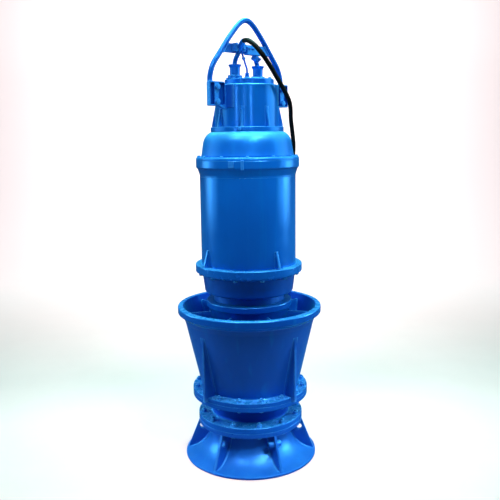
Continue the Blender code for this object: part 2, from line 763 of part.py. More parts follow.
def bail_line():
    """The bail's centre line as (along, height), from the left foot over the top to the right foot."""
    half = [
        (BAIL_FOOT_OFFSET, BRACKET_TOP + GAP),
        (BAIL_FOOT_OFFSET, 1.798),
        (0.2075, 1.822),
        (0.1985, 1.846),
        (0.1850, 1.869),
        (0.1680, 1.891),
        (0.1465, 1.918),
        (0.1250, 1.946),
        (0.1035, 1.973),
        (0.0810, 1.999),
        (0.0590, 2.023),
        (0.0420, 2.039),
        (0.0270, 2.050),
        (0.0130, 2.0565),
        (0.0, BAIL_TOP),
    ]
    return [(-along, height) for along, height in half] + half[-2::-1]


def lifting_bail():
    """The bent bar, the plates at its feet and the flat bar across it."""
    points = [in_bail_plane(along, 0, height) for along, height in bail_line()]
    tube("lifting_bail", points, BAIL_BAR_RADIUS, BLUE_ENAMEL, resolution=3)
    for side, name in ((-1, "bail_plate_left"), (1, "bail_plate_right")):
        outline = [
            (side * 0.172, BRACKET_BOTTOM),
            (side * 0.226, BRACKET_BOTTOM),
            (side * 0.226, BRACKET_TOP),
            (side * 0.190, BRACKET_TOP),
            (side * 0.172, BRACKET_TOP - 0.014),
        ]
        finished(joined(name, [plate([outline], BRACKET_THICKNESS, bail_frame())], PARTS, BLUE_ENAMEL))
    high_end = 0.1020
    low_end = 0.1340
    outline = [
        (-high_end, CROSSBAR_TOP),
        (-low_end, CROSSBAR_BOTTOM),
        (low_end, CROSSBAR_BOTTOM),
        (high_end, CROSSBAR_TOP),
    ]
    crossbar = plate([outline], CROSSBAR_THICKNESS, bail_frame())
    finished(joined("bail_crossbar", [crossbar], PARTS, BLUE_ENAMEL))


def cable_clamps():
    """The clamp that holds the supply cable to the crossbar, and the one for the other leads."""
    face = CROSSBAR_THICKNESS / 2 + GAP
    clamp_outline = [
        (-0.089, face),
        (-0.038, face),
        (-0.038, 0.040),
        (-0.048, 0.040),
        (-0.048, face + 0.0025),
        (-0.080, face + 0.0025),
        (-0.080, 0.038),
        (-0.089, 0.038),
    ]
    lying = bail_frame(height=CROSSBAR_TOP - SUPPLY_CLAMP_HEIGHT / 2) @ Matrix.Rotation(math.pi / 2, 4, "X")
    finished(joined("supply_clamp", [plate([clamp_outline], SUPPLY_CLAMP_HEIGHT, lying)], PARTS, BLUE_ENAMEL))
    middle = bail_frame(0.024, face + 0.014, LEAD_CLAMP_BOTTOM + 0.020)
    lead_clamp = block((0.092, 0.040, 0.028), middle, 0.003)
    finished(joined("lead_clamp", [lead_clamp], PARTS, BLUE_ENAMEL))


def supply_cable():
    """The free cable: its hanging stretch, the coil of the rest, and the sleeve on its end."""
    tube("supply_cable", smooth_route(CABLE_ROUTE, CABLE_POINT_SPACING), CABLE_RADIUS, BLACK_RUBBER)
    pitch = COIL_OUTER_TURN - COIL_INNER_TURN
    outer = COIL_OUTER_TURN + CABLE_RADIUS
    middle = (COIL_OUTER_TURN + COIL_INNER_TURN) / 2
    inner = COIL_INNER_TURN - CABLE_RADIUS
    height = (COIL_LAYERS - 1) * pitch + 2 * CABLE_RADIUS
    corner = CABLE_RADIUS * 0.45
    outline = [
        (middle - corner, height),
        (middle, height - corner),
        (middle, height - pitch),
        (outer - corner, height - pitch),
        (outer, height - pitch - corner),
        (outer, corner),
        (outer - corner, 0),
        (inner + corner, 0),
        (inner, corner),
        (inner, height - corner),
        (inner + corner, height),
    ]
    finished(turned("cable_coil", outline, BLACK_RUBBER, centre=(*COIL_CENTRE, 0)))
    heading = Vector((-math.sin(CABLE_END_ANGLE), math.cos(CABLE_END_ANGLE), 0))
    start = Vector((*COIL_CENTRE, CABLE_END_RADIUS))
    start += COIL_OUTER_TURN * Vector((math.cos(CABLE_END_ANGLE), math.sin(CABLE_END_ANGLE), 0))
    start += (CABLE_END_START + CABLE_END_LENGTH / 2) * heading
    matrix = Matrix.Translation(start) @ heading.to_track_quat("Z", "Y").to_matrix().to_4x4()
    sleeve = round_bar(CABLE_END_RADIUS, CABLE_END_LENGTH, matrix, 16)
    finished(joined("cable_end_cap", [sleeve], PARTS, SHRINK_SLEEVE))


suction_bell()
impeller_casing()
impeller()
diffuser_shell()
diffuser_hub()
guide_vanes()
motor_foot()
motor_lower_flange()
motor_barrel()
motor_head()
junction_box()
box_lid()
glands()
painted_leads()
lifting_bail()
cable_clamps()
supply_cable()
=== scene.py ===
"""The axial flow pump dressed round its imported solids, with the studio that it stands in.

Metres, +Z up, the pump's axis at x = y = 0. Azimuths are in degrees from -Y, positive towards +X.
"""

from math import acos, atan2, ceil, copysign, cos, hypot, pi, radians, sin, sqrt, tan

import bmesh
import bpy
import numpy as np
from mathutils import Matrix, Vector


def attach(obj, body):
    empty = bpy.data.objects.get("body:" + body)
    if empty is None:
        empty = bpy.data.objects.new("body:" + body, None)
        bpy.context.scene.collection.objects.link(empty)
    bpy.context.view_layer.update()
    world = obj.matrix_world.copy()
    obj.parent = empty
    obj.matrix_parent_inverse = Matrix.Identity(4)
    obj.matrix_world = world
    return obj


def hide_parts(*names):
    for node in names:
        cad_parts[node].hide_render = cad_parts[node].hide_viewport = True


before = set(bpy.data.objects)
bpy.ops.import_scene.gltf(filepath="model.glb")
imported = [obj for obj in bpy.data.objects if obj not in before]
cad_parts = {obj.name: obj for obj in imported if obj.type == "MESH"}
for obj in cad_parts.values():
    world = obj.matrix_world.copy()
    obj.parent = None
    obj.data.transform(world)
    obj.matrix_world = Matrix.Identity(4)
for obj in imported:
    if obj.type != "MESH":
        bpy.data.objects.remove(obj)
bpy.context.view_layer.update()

FACETS = 144
SHARP_ANGLE = 33
WELD = 0.000002
BAIL_YAW = radians(41)
ON_ITS_SIDE = Matrix.Rotation(pi / 2, 4, "X")
UPSIDE_DOWN = Matrix.Rotation(pi, 4, "X")
OUTWARDS = Matrix.Rotation(pi / 2, 4, "Y")
CABLE_DIAMETER = 0.021
CABLE_RADIUS = CABLE_DIAMETER / 2


# Camera

CAMERA_PLACE = (0.0067, -3.15, 1.54)
SENSOR_WIDTH = 36.0
FOCAL_LENGTH = 48.24


def link(obj):
    bpy.context.scene.collection.objects.link(obj)


def place_camera():
    """A standing person's view of the pump, slightly downwards and with a slight roll."""
    pitch = radians(9.57)
    roll = radians(-0.66)
    right = Vector((1, 0, 0))
    up = Vector((0, sin(pitch), cos(pitch)))
    back = Vector((0, -cos(pitch), sin(pitch)))
    rolled_right = right * cos(roll) + up * sin(roll)
    rolled_up = up * cos(roll) - right * sin(roll)
    data = bpy.data.cameras.new("view")
    data.sensor_width = SENSOR_WIDTH
    data.lens = FOCAL_LENGTH
    camera = bpy.data.objects.new("view", data)
    turn = Matrix((rolled_right, rolled_up, back)).transposed().to_4x4()
    camera.matrix_world = Matrix.Translation(CAMERA_PLACE) @ turn
    link(camera)
    bpy.context.scene.camera = camera
    bpy.context.scene.view_settings.view_transform = "Standard"


place_camera()


# Shapes: each is (points, faces), and several make one piece

def in_bail_plane(along, across, height):
    """A point of the bail's plane: along it, across it towards the viewer, and at a height."""
    x = along * cos(BAIL_YAW) + across * sin(BAIL_YAW)
    y = along * sin(BAIL_YAW) - across * cos(BAIL_YAW)
    return Vector((x, y, height))


def bail_frame(along=0.0, across=0.0, height=0.0):
    """The matrix whose X runs along the bail's plane, Y up and Z across it towards the viewer."""
    turn = Matrix.Rotation(BAIL_YAW, 4, "Z") @ ON_ITS_SIDE
    return Matrix.Translation(in_bail_plane(along, across, height)) @ turn


def at_azimuth(azimuth, radius=0.0, height=0.0):
    """The matrix of a place on the pump: X runs outwards, Z up."""
    turn = Matrix.Rotation(radians(azimuth - 90), 4, "Z")
    return turn @ Matrix.Translation((radius, 0, height))


NEARLY_STRAIGHT = radians(176)
ARC_STEP = radians(16)
LONGEST_ROUNDING = 0.48


def rounded(corners, closed=True):
    """A profile with each (radius, height, rounding) corner turned into an arc."""
    points = []
    count = len(corners)
    for i, (x, y, rounding) in enumerate(corners):
        here = np.array((x, y))
        if not rounding or (not closed and i in (0, count - 1)):
            points.append((x, y))
            continue
        before = np.array(corners[i - 1][:2]) - here
        after = np.array(corners[(i + 1) % count][:2]) - here
        reach_before, reach_after = np.linalg.norm(before), np.linalg.norm(after)
        before, after = before / reach_before, after / reach_after
        inside = acos(max(-1, min(1, float(before @ after))))
        if inside > NEARLY_STRAIGHT:
            points.append((x, y))
            continue
        longest = LONGEST_ROUNDING * min(reach_before, reach_after)
        back = min(rounding / tan(inside / 2), longest)
        radius = back * tan(inside / 2)
        bisector = before + after
        bisector /= np.linalg.norm(bisector)
        centre = here + bisector * radius / sin(inside / 2)
        start, end = here + before * back - centre, here + after * back - centre
        sweep = pi - inside
        steps = max(2, ceil(sweep / ARC_STEP))
        side = copysign(1, start[0] * end[1] - start[1] * end[0])
        for k in range(steps + 1):
            a = side * sweep * k / steps
            turned_x = start[0] * cos(a) - start[1] * sin(a)
            turned_y = start[0] * sin(a) + start[1] * cos(a)
            points.append((centre[0] + turned_x, centre[1] + turned_y))
    return points


def arc(centre, radii, start, end, steps):
    """Points on an ellipse's arc; angles in degrees from +radius towards +height."""
    angles = np.radians(np.linspace(start, end, steps + 1))
    return [(centre[0] + radii[0] * cos(a), centre[1] + radii[1] * sin(a)) for a in angles]


def lathe(profile, facets=FACETS, closed=True, matrix=None):
    """A profile of (radius, height) turned about the matrix's Z. An open profile ends on the axis."""
    count = len(profile)
    angles = np.arange(facets) * 2 * pi / facets
    points = [Vector((r * cos(a), r * sin(a), z)) for a in angles for r, z in profile]
    faces = []
    for j in range(facets):
        a, b = j * count, (j + 1) % facets * count
        for i in range(count if closed else count - 1):
            k = (i + 1) % count
            faces.append((a + i, a + k, b + k, b + i))
    if matrix is not None:
        points = [matrix @ p for p in points]
    return points, faces


def turned(corners, facets=FACETS, matrix=None):
    """A solid of revolution from rounded corners, closed by flat ends that reach the axis."""
    ends = (0, corners[0][1], 0), (0, corners[-1][1], 0)
    return lathe(rounded([ends[0], *corners, ends[1]], False), facets, False, matrix)


def loft(rings, capped=True):
    """Closed rings of points joined one to the next."""
    count = len(rings[0])
    points = [Vector(p) for ring in rings for p in ring]
    faces = []
    for j in range(len(rings) - 1):
        a, b = j * count, (j + 1) * count
        for i in range(count):
            k = (i + 1) % count
            faces.append((a + i, a + k, b + k, b + i))
    if capped:
        faces.append(tuple(range(count)))
        faces.append(tuple(range(len(points) - count, len(points))))
    return points, faces


def slab(outline, thickness, matrix, rounding=0.0, edge=0.0015):
    """A flat plate with softened edges: outline corners in the matrix's XY, its thickness along Z."""
    corners = rounded([(x, y, rounding) for x, y in outline]) if rounding else outline
    flat = np.array(corners, float)
    before, after = np.roll(flat, 1, axis=0) - flat, np.roll(flat, -1, axis=0) - flat
    before /= np.linalg.norm(before, axis=1)[:, None]
    after /= np.linalg.norm(after, axis=1)[:, None]
    area = float(np.sum(flat[:, 0] * np.roll(flat[:, 1], -1) - np.roll(flat[:, 0], -1) * flat[:, 1]))
    inward = np.stack([-after[:, 1], after[:, 0]], axis=1) + np.stack([before[:, 1], -before[:, 0]], axis=1)
    inward *= copysign(1, area) / np.maximum(np.linalg.norm(inward, axis=1), 1e-9)[:, None]
    half = thickness / 2
    rear = [(-half, edge), (-half + 0.3 * edge, 0.3 * edge), (-half + edge, 0)]
    front = [(-z, inset) for z, inset in reversed(rear)]
    rings = []
    for z, inset in rear + front:
        ring = flat + inward * inset
        rings.append([matrix @ Vector((x, y, z)) for x, y in ring])
    return loft(rings)


# A fillet's (reach, width) along its curve, as shares of its size
FILLET = ((0, 1), (0.06, 0.66), (0.2, 0.4), (0.45, 0.165), (0.75, 0.03), (1, 0))


def fin(base, edge, thickness, azimuth, flare, nose, sunk=0.003):
    """A radial rib from the wall's points out to its edge's points, with cast fillets at the wall.

    Both lists are (radius, height), one section for each pair.
    """
    half = thickness / 2
    turn = radians(azimuth)
    rings = []
    for (r0, z0), (r1, z1) in zip(base, edge):
        reach = max(hypot(r1 - r0, z1 - z0), 1e-5)
        dr, dz = (r1 - r0) / reach, (z1 - z0) / reach
        side = [(-sunk, half + flare)]
        side += [(min(share * flare, reach), half + width * flare) for share, width in FILLET]
        side.append((max(min(flare * 1.01, reach), reach - nose), half))
        side += [(reach - 0.3 * nose, half - 0.3 * nose), (reach, half - nose)]
        ring = [(d, w) for d, w in side] + [(d, -w) for d, w in reversed(side)]
        points = []
        for d, w in ring:
            radius = r0 + dr * d
            x = radius * sin(turn) + w * cos(turn)
            y = -radius * cos(turn) + w * sin(turn)
            points.append((x, y, z0 + dz * d))
        rings.append(points)
    return loft(rings)


def oblong(left, right, low, high):
    return [(left, low), (right, low), (right, high), (left, high)]


def hexagon(matrix, across, height, chamfer=0.0012):
    """A hexagonal head or nut that stands on the matrix's XY."""
    corner = across / sqrt(3)
    face = corner - 2.2 * chamfer
    profile = [(0, height), (face, height), (corner, height - chamfer), (corner, 0), (0, 0)]
    return lathe(profile, 6, False, matrix)


def disc(matrix, radius, height, edge=0.001, facets=24):
    """A round washer, stud end or boss that stands on the matrix's XY."""
    bevel = [(radius - edge, height), (radius - 0.3 * edge, height - 0.3 * edge), (radius, height - edge)]
    profile = [(0, height), *bevel, (radius, 0), (0, 0)]
    return lathe(profile, facets, False, matrix)


def nut_and_stud(matrix, size):
    """A washer, a nut and the stud's end, for a thread of the size given."""
    washer, nut = 0.18 * size, 0.82 * size
    up = Matrix.Translation((0, 0, washer))
    top = Matrix.Translation((0, 0, washer + nut))
    return [
        disc(matrix, 0.98 * size, washer, 0.0006),
        hexagon(matrix @ up, 1.55 * size, nut),
        disc(matrix @ top, 0.5 * size, 0.36 * size, 0.0016, 16),
    ]


def tube_points(line, radius, sides=16):
    """Rings round a line of points, for a rigid bent bar or lead: one radius, or one for each point."""
    line = [Vector(p) for p in line]
    radii = np.broadcast_to(radius, len(line))
    rings = []
    normal = None
    for i, p in enumerate(line):
        tangent = (line[min(i + 1, len(line) - 1)] - line[max(i - 1, 0)]).normalized()
        if normal is None:
            normal = tangent.orthogonal().normalized()
        normal = (normal - tangent * normal.dot(tangent)).normalized()
        other = tangent.cross(normal)
        angles = [2 * pi * k / sides for k in range(sides)]
        rings.append([p + float(radii[i]) * (cos(a) * normal + sin(a) * other) for a in angles])
    return loft(rings)


def spline(knots, spacing):
    """Evenly spaced points on the natural cubic spline through the knots."""
    knots = np.array(knots, float)
    last = len(knots) - 1
    steps = np.linalg.norm(np.diff(knots, axis=0), axis=1)
    along = np.concatenate([[0], np.cumsum(steps)])
    system = np.eye(last + 1)
    target = np.zeros((last + 1, 3))
    slopes = np.diff(knots, axis=0) / steps[:, None]
    for i in range(1, last):
        system[i, i - 1 : i + 2] = steps[i - 1], 2 * (steps[i - 1] + steps[i]), steps[i]
        target[i] = 6 * (slopes[i] - slopes[i - 1])
    bend = np.linalg.solve(system, target)
    count = max(3, round(along[-1] / spacing) + 1)
    points = []
    for distance in np.linspace(0, along[-1], count):
        i = min(int(np.searchsorted(along, distance, side="right")) - 1, last - 1)
        t = distance - along[i]
        first = slopes[i] - steps[i] * (2 * bend[i] + bend[i + 1]) / 6
        third = (bend[i + 1] - bend[i]) / (6 * steps[i])
        points.append(Vector(knots[i] + first * t + bend[i] / 2 * t**2 + third * t**3))
    return points


def placed(obj, material, nodes):
    """Links a piece, gives it its material and lets it ride in place of its CAD nodes."""
    link(obj)
    obj.data.materials.append(material)
    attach(obj, "root")
    if nodes:
        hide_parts(*nodes)
    return obj


def soften(obj, sharp=SHARP_ANGLE, weight=60):
    """Smooth shading with creases, and normals that favour the large faces."""
    obj.data.shade_smooth()
    obj.data.set_sharp_from_angle(angle=radians(sharp))
    weighted = obj.modifiers.new("weighted", "WEIGHTED_NORMAL")
    weighted.keep_sharp = True
    weighted.weight = weight


def piece(name, shapes, material, nodes=(), sharp=SHARP_ANGLE):
    """One object of several closed shapes."""
    whole = bmesh.new()
    for points, faces in shapes:
        part = bmesh.new()
        verts = [part.verts.new(p) for p in points]
        for face in faces:
            if len(set(face)) > 2:
                part.faces.new([verts[i] for i in face])
        bmesh.ops.remove_doubles(part, verts=part.verts, dist=WELD)
        bmesh.ops.recalc_face_normals(part, faces=part.faces)
        mesh = bpy.data.meshes.new("part")
        part.to_mesh(mesh)
        part.free()
        whole.from_mesh(mesh)
        bpy.data.meshes.remove(mesh)
    mesh = bpy.data.meshes.new(name)
    whole.to_mesh(mesh)
    whole.free()
    obj = placed(bpy.data.objects.new(name, mesh), material, nodes)
    soften(obj, sharp)
    return obj


def mark(obj, material, chosen):
    """Gives a second material to a piece's faces whose centres are chosen."""
    obj.data.materials.append(material)
    for face in obj.data.polygons:
        if chosen(face.center):
            face.material_index = len(obj.data.materials) - 1


def cut(obj, shapes):
    """Takes closed shapes out of a piece."""
    cutter = piece("cutter", shapes, ENAMEL_CAST)
    modifier = obj.modifiers.new("cut", "BOOLEAN")
    modifier.operation = "DIFFERENCE"
    modifier.object = cutter
    graph = bpy.context.evaluated_depsgraph_get()
    mesh = bpy.data.meshes.new_from_object(obj.evaluated_get(graph))
    obj.modifiers.clear()
    obj.data = mesh
    soften(obj, weight=50)
    bpy.data.objects.remove(cutter)


# Materials

class Paint:
    """The nodes of one material, in the pump's own coordinates."""

    def __init__(self, name):
        self.material = bpy.data.materials.new(name)
        self.material.use_nodes = True
        self.nodes = self.material.node_tree.nodes
        self.links = self.material.node_tree.links
        self.shader = self.nodes["Principled BSDF"]
        self.place = self.node("TexCoord").outputs["Object"]

    def node(self, kind, inputs=(), **settings):
        node = self.nodes.new("ShaderNode" + kind)
        for key, value in settings.items():
            setattr(node, key, value)
        for key, value in dict(inputs).items():
            self.feed(node.inputs[key], value)
        return node

    def feed(self, socket, value):
        """Links an input to another node's output, or sets its own value."""
        if isinstance(value, bpy.types.NodeSocket):
            self.links.new(value, socket)
        else:
            socket.default_value = value

    def noise(self, scale, detail=3.0, rough=0.5, stretch=(1, 1, 1), distortion=0.0):
        where = self.node("Mapping", {"Vector": self.place, "Scale": stretch}).outputs[0]
        inputs = {"Vector": where, "Scale": scale, "Detail": detail}
        inputs |= {"Roughness": rough, "Distortion": distortion}
        return self.node("TexNoise", inputs).outputs[0]

    def ramp(self, value, stops):
        node = self.node("ValToRGB", {"Fac": value})
        ramp = node.color_ramp
        while len(ramp.elements) < len(stops):
            ramp.elements.new(0.5)
        for element, (position, colour) in zip(ramp.elements, stops):
            element.position = position
            element.color = (*colour, 1) if isinstance(colour, tuple) else (*[colour] * 3, 1)
        return node.outputs[0]

    def mix(self, factor, first, second):
        node = self.node("Mix", data_type="RGBA")
        for index, value in ((0, factor), (6, first), (7, second)):
            self.feed(node.inputs[index], (*value, 1) if isinstance(value, tuple) else value)
        return node.outputs[2]

    def maths(self, operation, first, second, clamp=False):
        inputs = {0: first, 1: second}
        return self.node("Math", inputs, operation=operation, use_clamp=clamp).outputs[0]

    def times(self, first, second):
        return self.maths("MULTIPLY", first, second)

    def eased(self, value, low, high):
        inputs = {0: value, 1: low, 2: high}
        return self.node("MapRange", inputs, interpolation_type="SMOOTHSTEP").outputs[0]

    def bump(self, height, strength, distance, under=None):
        inputs = {"Height": height, "Strength": strength, "Distance": distance}
        if under is not None:
            inputs["Normal"] = under
        return self.node("Bump", inputs).outputs[0]

    def facing_up(self, low, high):
        """How far the surface faces up, from 0 to 1."""
        normal = self.node("NewGeometry").outputs["Normal"]
        z = self.node("SeparateXYZ", {0: normal}).outputs[2]
        return self.eased(z, low, high)

    def away(self, near, far):
        """How far a place is from the origin, from 0 to 1."""
        reach = self.node("VectorMath", {0: self.place}, operation="LENGTH").outputs["Value"]
        return self.eased(reach, near, far)

    def convex(self, low, high):
        """Where the surface is an outer edge, from 0 to 1."""
        pointiness = self.node("NewGeometry").outputs["Pointiness"]
        return self.node("MapRange", {0: pointiness, 1: low, 2: high}).outputs[0]

    def finish(self, colour, roughness, normal, **values):
        values |= {"Base_Color": colour, "Roughness": roughness, "Normal": normal}
        for key, value in values.items():
            self.feed(self.shader.inputs[key.replace("_", " ")], value)
        return self.material


ROYAL_BLUES = [(0.3, (0.002, 0.096, 0.5)), (0.52, (0.0022, 0.112, 0.56)), (0.74, (0.0026, 0.13, 0.61))]
DARKER_PATCH = (0.0015, 0.09, 0.43)
# Painted shade: the blue that shaded parts of the enamel are darkened towards
SHADE_BLUE = (0.0012, 0.038, 0.38)
PAINT_RUN = (0.002, 0.18, 0.6)
# Convex edges are lightened towards this: partly worn paint, partly a painted highlight
RUBBED_EDGE_AND_HIGHLIGHT = (0.06, 0.33, 0.8)
CHIP = (0.02, 0.11, 0.33)
# Faces that look up are lightened towards this: partly dust, partly a painted reflection of the light above
DUST_AND_SHEEN = (0.06, 0.4, 0.8)
ENAMEL_FINISH = {
    "Specular_Tint": (0.35, 0.92, 1, 1),
    "Sheen_Weight": 0.16,
    "Sheen_Roughness": 0.35,
    "Sheen_Tint": (0.02, 0.65, 1, 1),
    "Metallic": 0.25,
}


def enamel(name, casting, roughness=0.2, shade_amount=0.0, shine=0.42, dust_and_sheen_amount=0.72):
    """Royal blue enamel over metal from rolled plate, casting 0, to sand-cast iron, casting 1.

    The fourth argument darkens the colour towards a painted shade, which stands for the shade on
    parts that face down or lie in hollows; shine is how much it reflects; and the last argument
    lightens the faces that look up, partly as dust and partly as a painted reflection of the light above.
    """
    paint = Paint(name)
    broad = paint.noise(2.6, 2, 0.45)
    patches = paint.noise(17, 4, 0.55, (1, 1, 0.6))
    colour = paint.ramp(broad, ROYAL_BLUES)
    colour = paint.mix(paint.ramp(patches, [(0.42, 0), (0.72, 0.32)]), colour, DARKER_PATCH)
    # Painted shade, darker as the fourth argument grows
    colour = paint.mix(shade_amount, colour, SHADE_BLUE)
    runs = paint.noise(24, 2, 0.5, (1, 1, 0.07), 0.4)
    run_lines = paint.ramp(runs, [(0.6, 0), (0.7, 1)])
    colour = paint.mix(paint.times(run_lines, 0.18), colour, PAINT_RUN)
    # Convex edges lightened: partly wear, partly a painted highlight
    edges = paint.convex(0.515, 0.575)
    worn_and_highlit = paint.times(edges, paint.ramp(paint.noise(60, 4, 0.6), [(0.36, 0.5), (0.64, 1)]))
    colour = paint.mix(paint.times(worn_and_highlit, 0.6), colour, RUBBED_EDGE_AND_HIGHLIGHT)
    chips = paint.ramp(paint.noise(260, 3, 0.65), [(0.71, 0), (0.745, 1)])
    chips = paint.times(chips, paint.ramp(paint.noise(9, 2), [(0.58, 0), (0.68, 0.3)]))
    colour = paint.mix(chips, colour, CHIP)
    # Faces that look up lightened: partly dust, partly a painted reflection of the light above
    dust_and_sheen_spread = paint.ramp(paint.noise(11, 4, 0.55), [(0.34, 0.55), (0.66, 1)])
    dust_and_sheen = paint.times(paint.facing_up(0.12, 0.92), dust_and_sheen_spread)
    colour = paint.mix(paint.times(dust_and_sheen, dust_and_sheen_amount * (1 - 0.6 * shade_amount)), colour, DUST_AND_SHEEN)
    rough = paint.ramp(paint.noise(31, 4, 0.6), [(0.3, roughness), (0.7, roughness + 0.1)])
    rough = paint.maths("ADD", rough, paint.times(dust_and_sheen, 0.06))
    rough = paint.maths("ADD", rough, paint.times(chips, 0.3), clamp=True)
    waves = paint.noise(5.5, 2, 0.5, (1, 1, 0.8))
    normal = paint.bump(waves, 0.35, 0.0016 + 0.003 * casting)
    normal = paint.bump(paint.noise(330, 2, 0.45), 0.22, 0.0003, normal)
    if casting:
        normal = paint.bump(paint.noise(105, 5, 0.62), 0.3 * casting, 0.0009, normal)
    normal = paint.bump(run_lines, 0.1, 0.0005, normal)
    return paint.finish(colour, rough, normal, Specular_IOR_Level=shine, **ENAMEL_FINISH)


def sheath(name, tint, roughness):
    """Black cable sheath with a dull bloom, fine lines along it and scuffs."""
    paint = Paint(name)
    dark, pale = 0.0007 * tint, 0.0018 * tint
    blacks = [(0.3, (dark, dark, dark * 1.1)), (0.72, (pale, pale, pale * 1.1))]
    tone = paint.ramp(paint.noise(26, 4, 0.6), blacks)
    scuffs = paint.ramp(paint.noise(95, 5, 0.7, (1, 1, 0.25)), [(0.6, 0), (0.74, 1)])
    tone = paint.mix(paint.times(scuffs, 0.4), tone, (0.008, 0.008, 0.009))
    rough = paint.ramp(paint.noise(44, 4, 0.6), [(0.3, roughness), (0.7, roughness + 0.18)])
    normal = paint.bump(paint.noise(520, 2, 0.5), 0.25, 0.0003)
    normal = paint.bump(paint.noise(70, 3, 0.5), 0.2, 0.0006, normal)
    return paint.finish(tone, rough, normal, Specular_IOR_Level=0.1)


def cast_bronze(name):
    """Cast bronze with a brown skin, brighter on its edges, and fine machining lines."""
    paint = Paint(name)
    browns = [(0.3, (0.14, 0.07, 0.024)), (0.55, (0.33, 0.18, 0.062)), (0.75, (0.47, 0.285, 0.11))]
    skin = paint.ramp(paint.noise(20, 5, 0.6), browns)
    green = paint.ramp(paint.noise(48, 5, 0.65), [(0.62, 0), (0.74, 0.45)])
    skin = paint.mix(green, skin, (0.085, 0.16, 0.105))
    skin = paint.mix(paint.times(paint.convex(0.51, 0.57), 0.6), skin, (0.72, 0.47, 0.21))
    rough = paint.ramp(paint.noise(60, 4, 0.6), [(0.3, 0.28), (0.72, 0.52)])
    lines = paint.noise(12, 2, 0.4, (1, 1, 40))
    normal = paint.bump(paint.noise(150, 4, 0.6), 0.35, 0.0007)
    normal = paint.bump(lines, 0.12, 0.0004, normal)
    return paint.finish(skin, rough, normal, Metallic=1)


ENAMEL_CAST = enamel("enamel_on_cast_iron", 1, 0.2)
# Darker copies of the enamel, which stand for shade: painted shade on parts that face down, lie low or sit in
# hollows
ENAMEL_DEEP_SHADE = enamel("enamel_deep_shade_on_cast_iron", 0.8, 0.34, 0.62)
ENAMEL_SHADE = enamel("enamel_shade_on_cast_iron", 0.7, 0.17, 0.46)
# The bell is darkened by painted shade and gets little painted sheen
ENAMEL_BELL = enamel("enamel_on_bell", 0.7, 0.27, 0.58, dust_and_sheen_amount=0.3)
# The shoulder gets extra painted sheen on its upward faces
ENAMEL_DOME = enamel("enamel_on_shoulder", 0.6, 0.3, dust_and_sheen_amount=1.1)
ENAMEL_SMOOTH = enamel("enamel_on_machined_casting", 0.45, 0.17)
ENAMEL_ROLLED = enamel("enamel_on_rolled_plate", 0, 0.15)
ENAMEL_GLOSSY = enamel("enamel_glossy_on_drum", 0, 0.15)
# The darkest painted shade, for the cone's inside, the casing's neck and the hub ring's top
ENAMEL_DARKEST_SHADE = enamel("enamel_darkest_shade", 0.6, 0.45, 1, 0.06, 0.2)
ENAMEL_FASTENER = enamel("enamel_on_fasteners", 0.25, 0.24)
RUBBER = sheath("cable_sheath", 1, 0.4)
SLEEVE = sheath("cable_end_sleeve_skin", 1.9, 0.3)
BRONZE = cast_bronze("cast_bronze")


def solid(name, corners, nodes, material=ENAMEL_SMOOTH, facets=160):
    """A piece that is one turned solid."""
    return piece(name, [turned(corners, facets)], material, nodes=nodes)


# Supply cable

CABLE_ROUTE = [
    (-0.026, -0.066, 1.93), (-0.0152, -0.1082, 1.9515), (0.0142, -0.1603, 1.9474),
    (0.054, -0.1886, 1.9074), (0.1356, -0.1157, 1.7944), (0.2015, 0.0311, 1.681),
    (0.2094, 0.1092, 1.6187), (0.2228, 0.1264, 1.4763), (0.2027, 0.1582, 1.3367),
    (0.202, 0.178, 1.14), (0.192, 0.206, 0.94), (0.184, 0.252, 0.84), (0.18, 0.305, 0.76),
    (0.179, 0.33, 0.66), (0.184, 0.354, 0.54), (0.194, 0.386, 0.4), (0.203, 0.43, 0.265),
    (0.2085, 0.485, 0.15), (0.2095, 0.545, 0.0975), (0.209, 0.605, 0.079),
]
COIL_CENTRE = (0, 0.6)
INNER_TURN = 0.187
OUTER_TURN = 0.209
LAYER_PITCH = 0.022
COIL_CLEARANCE = 0.0004
# Each turn's radius and layer, in the order in which the cable runs through them
COIL_ORDER = (
    (INNER_TURN, 3), (INNER_TURN, 2), (OUTER_TURN, 2), (OUTER_TURN, 1), (INNER_TURN, 1),
    (INNER_TURN, 0), (OUTER_TURN, 0),
)
COIL_START_ANGLE = 1.4
COIL_END_ANGLE = 30.0
CROSSING_WINDOW = 50.0
TIE_AZIMUTHS = (20, 140, 260)
SLEEVE_START = 0.106
SLEEVE_LENGTH = 0.08
SLEEVE_RADIUS = 0.0135


def coil_turns(step=15.0):
    """The coil's line: each turn stops short of a whole one, so that the next can cross to its place."""
    angle, radius, height = COIL_START_ANGLE, OUTER_TURN, CABLE_ROUTE[-1][2]
    line = []
    for number, (next_radius, layer) in enumerate(COIL_ORDER):
        next_height = CABLE_RADIUS + COIL_CLEARANCE + layer * LAYER_PITCH
        for k in range(1, 5):
            share = k / 4
            ease = share * share * (3 - 2 * share)
            crossing_radius = radius + (next_radius - radius) * ease
            crossing_height = height + (next_height - height) * ease
            line.append((angle + CROSSING_WINDOW * share, crossing_radius, crossing_height))
        angle += CROSSING_WINDOW
        stop = COIL_START_ANGLE + (360 - CROSSING_WINDOW) * (number + 1)
        if number == len(COIL_ORDER) - 1:
            stop = 360 * (stop // 360) + COIL_END_ANGLE
        count = max(2, round((stop - angle) / step))
        line += [(angle + (stop - angle) * k / count, next_radius, next_height) for k in range(1, count + 1)]
        angle, radius, height = stop, next_radius, next_height
    x, y = COIL_CENTRE
    return [(x + r * cos(radians(a)), y + r * sin(radians(a)), z) for a, r, z in line]


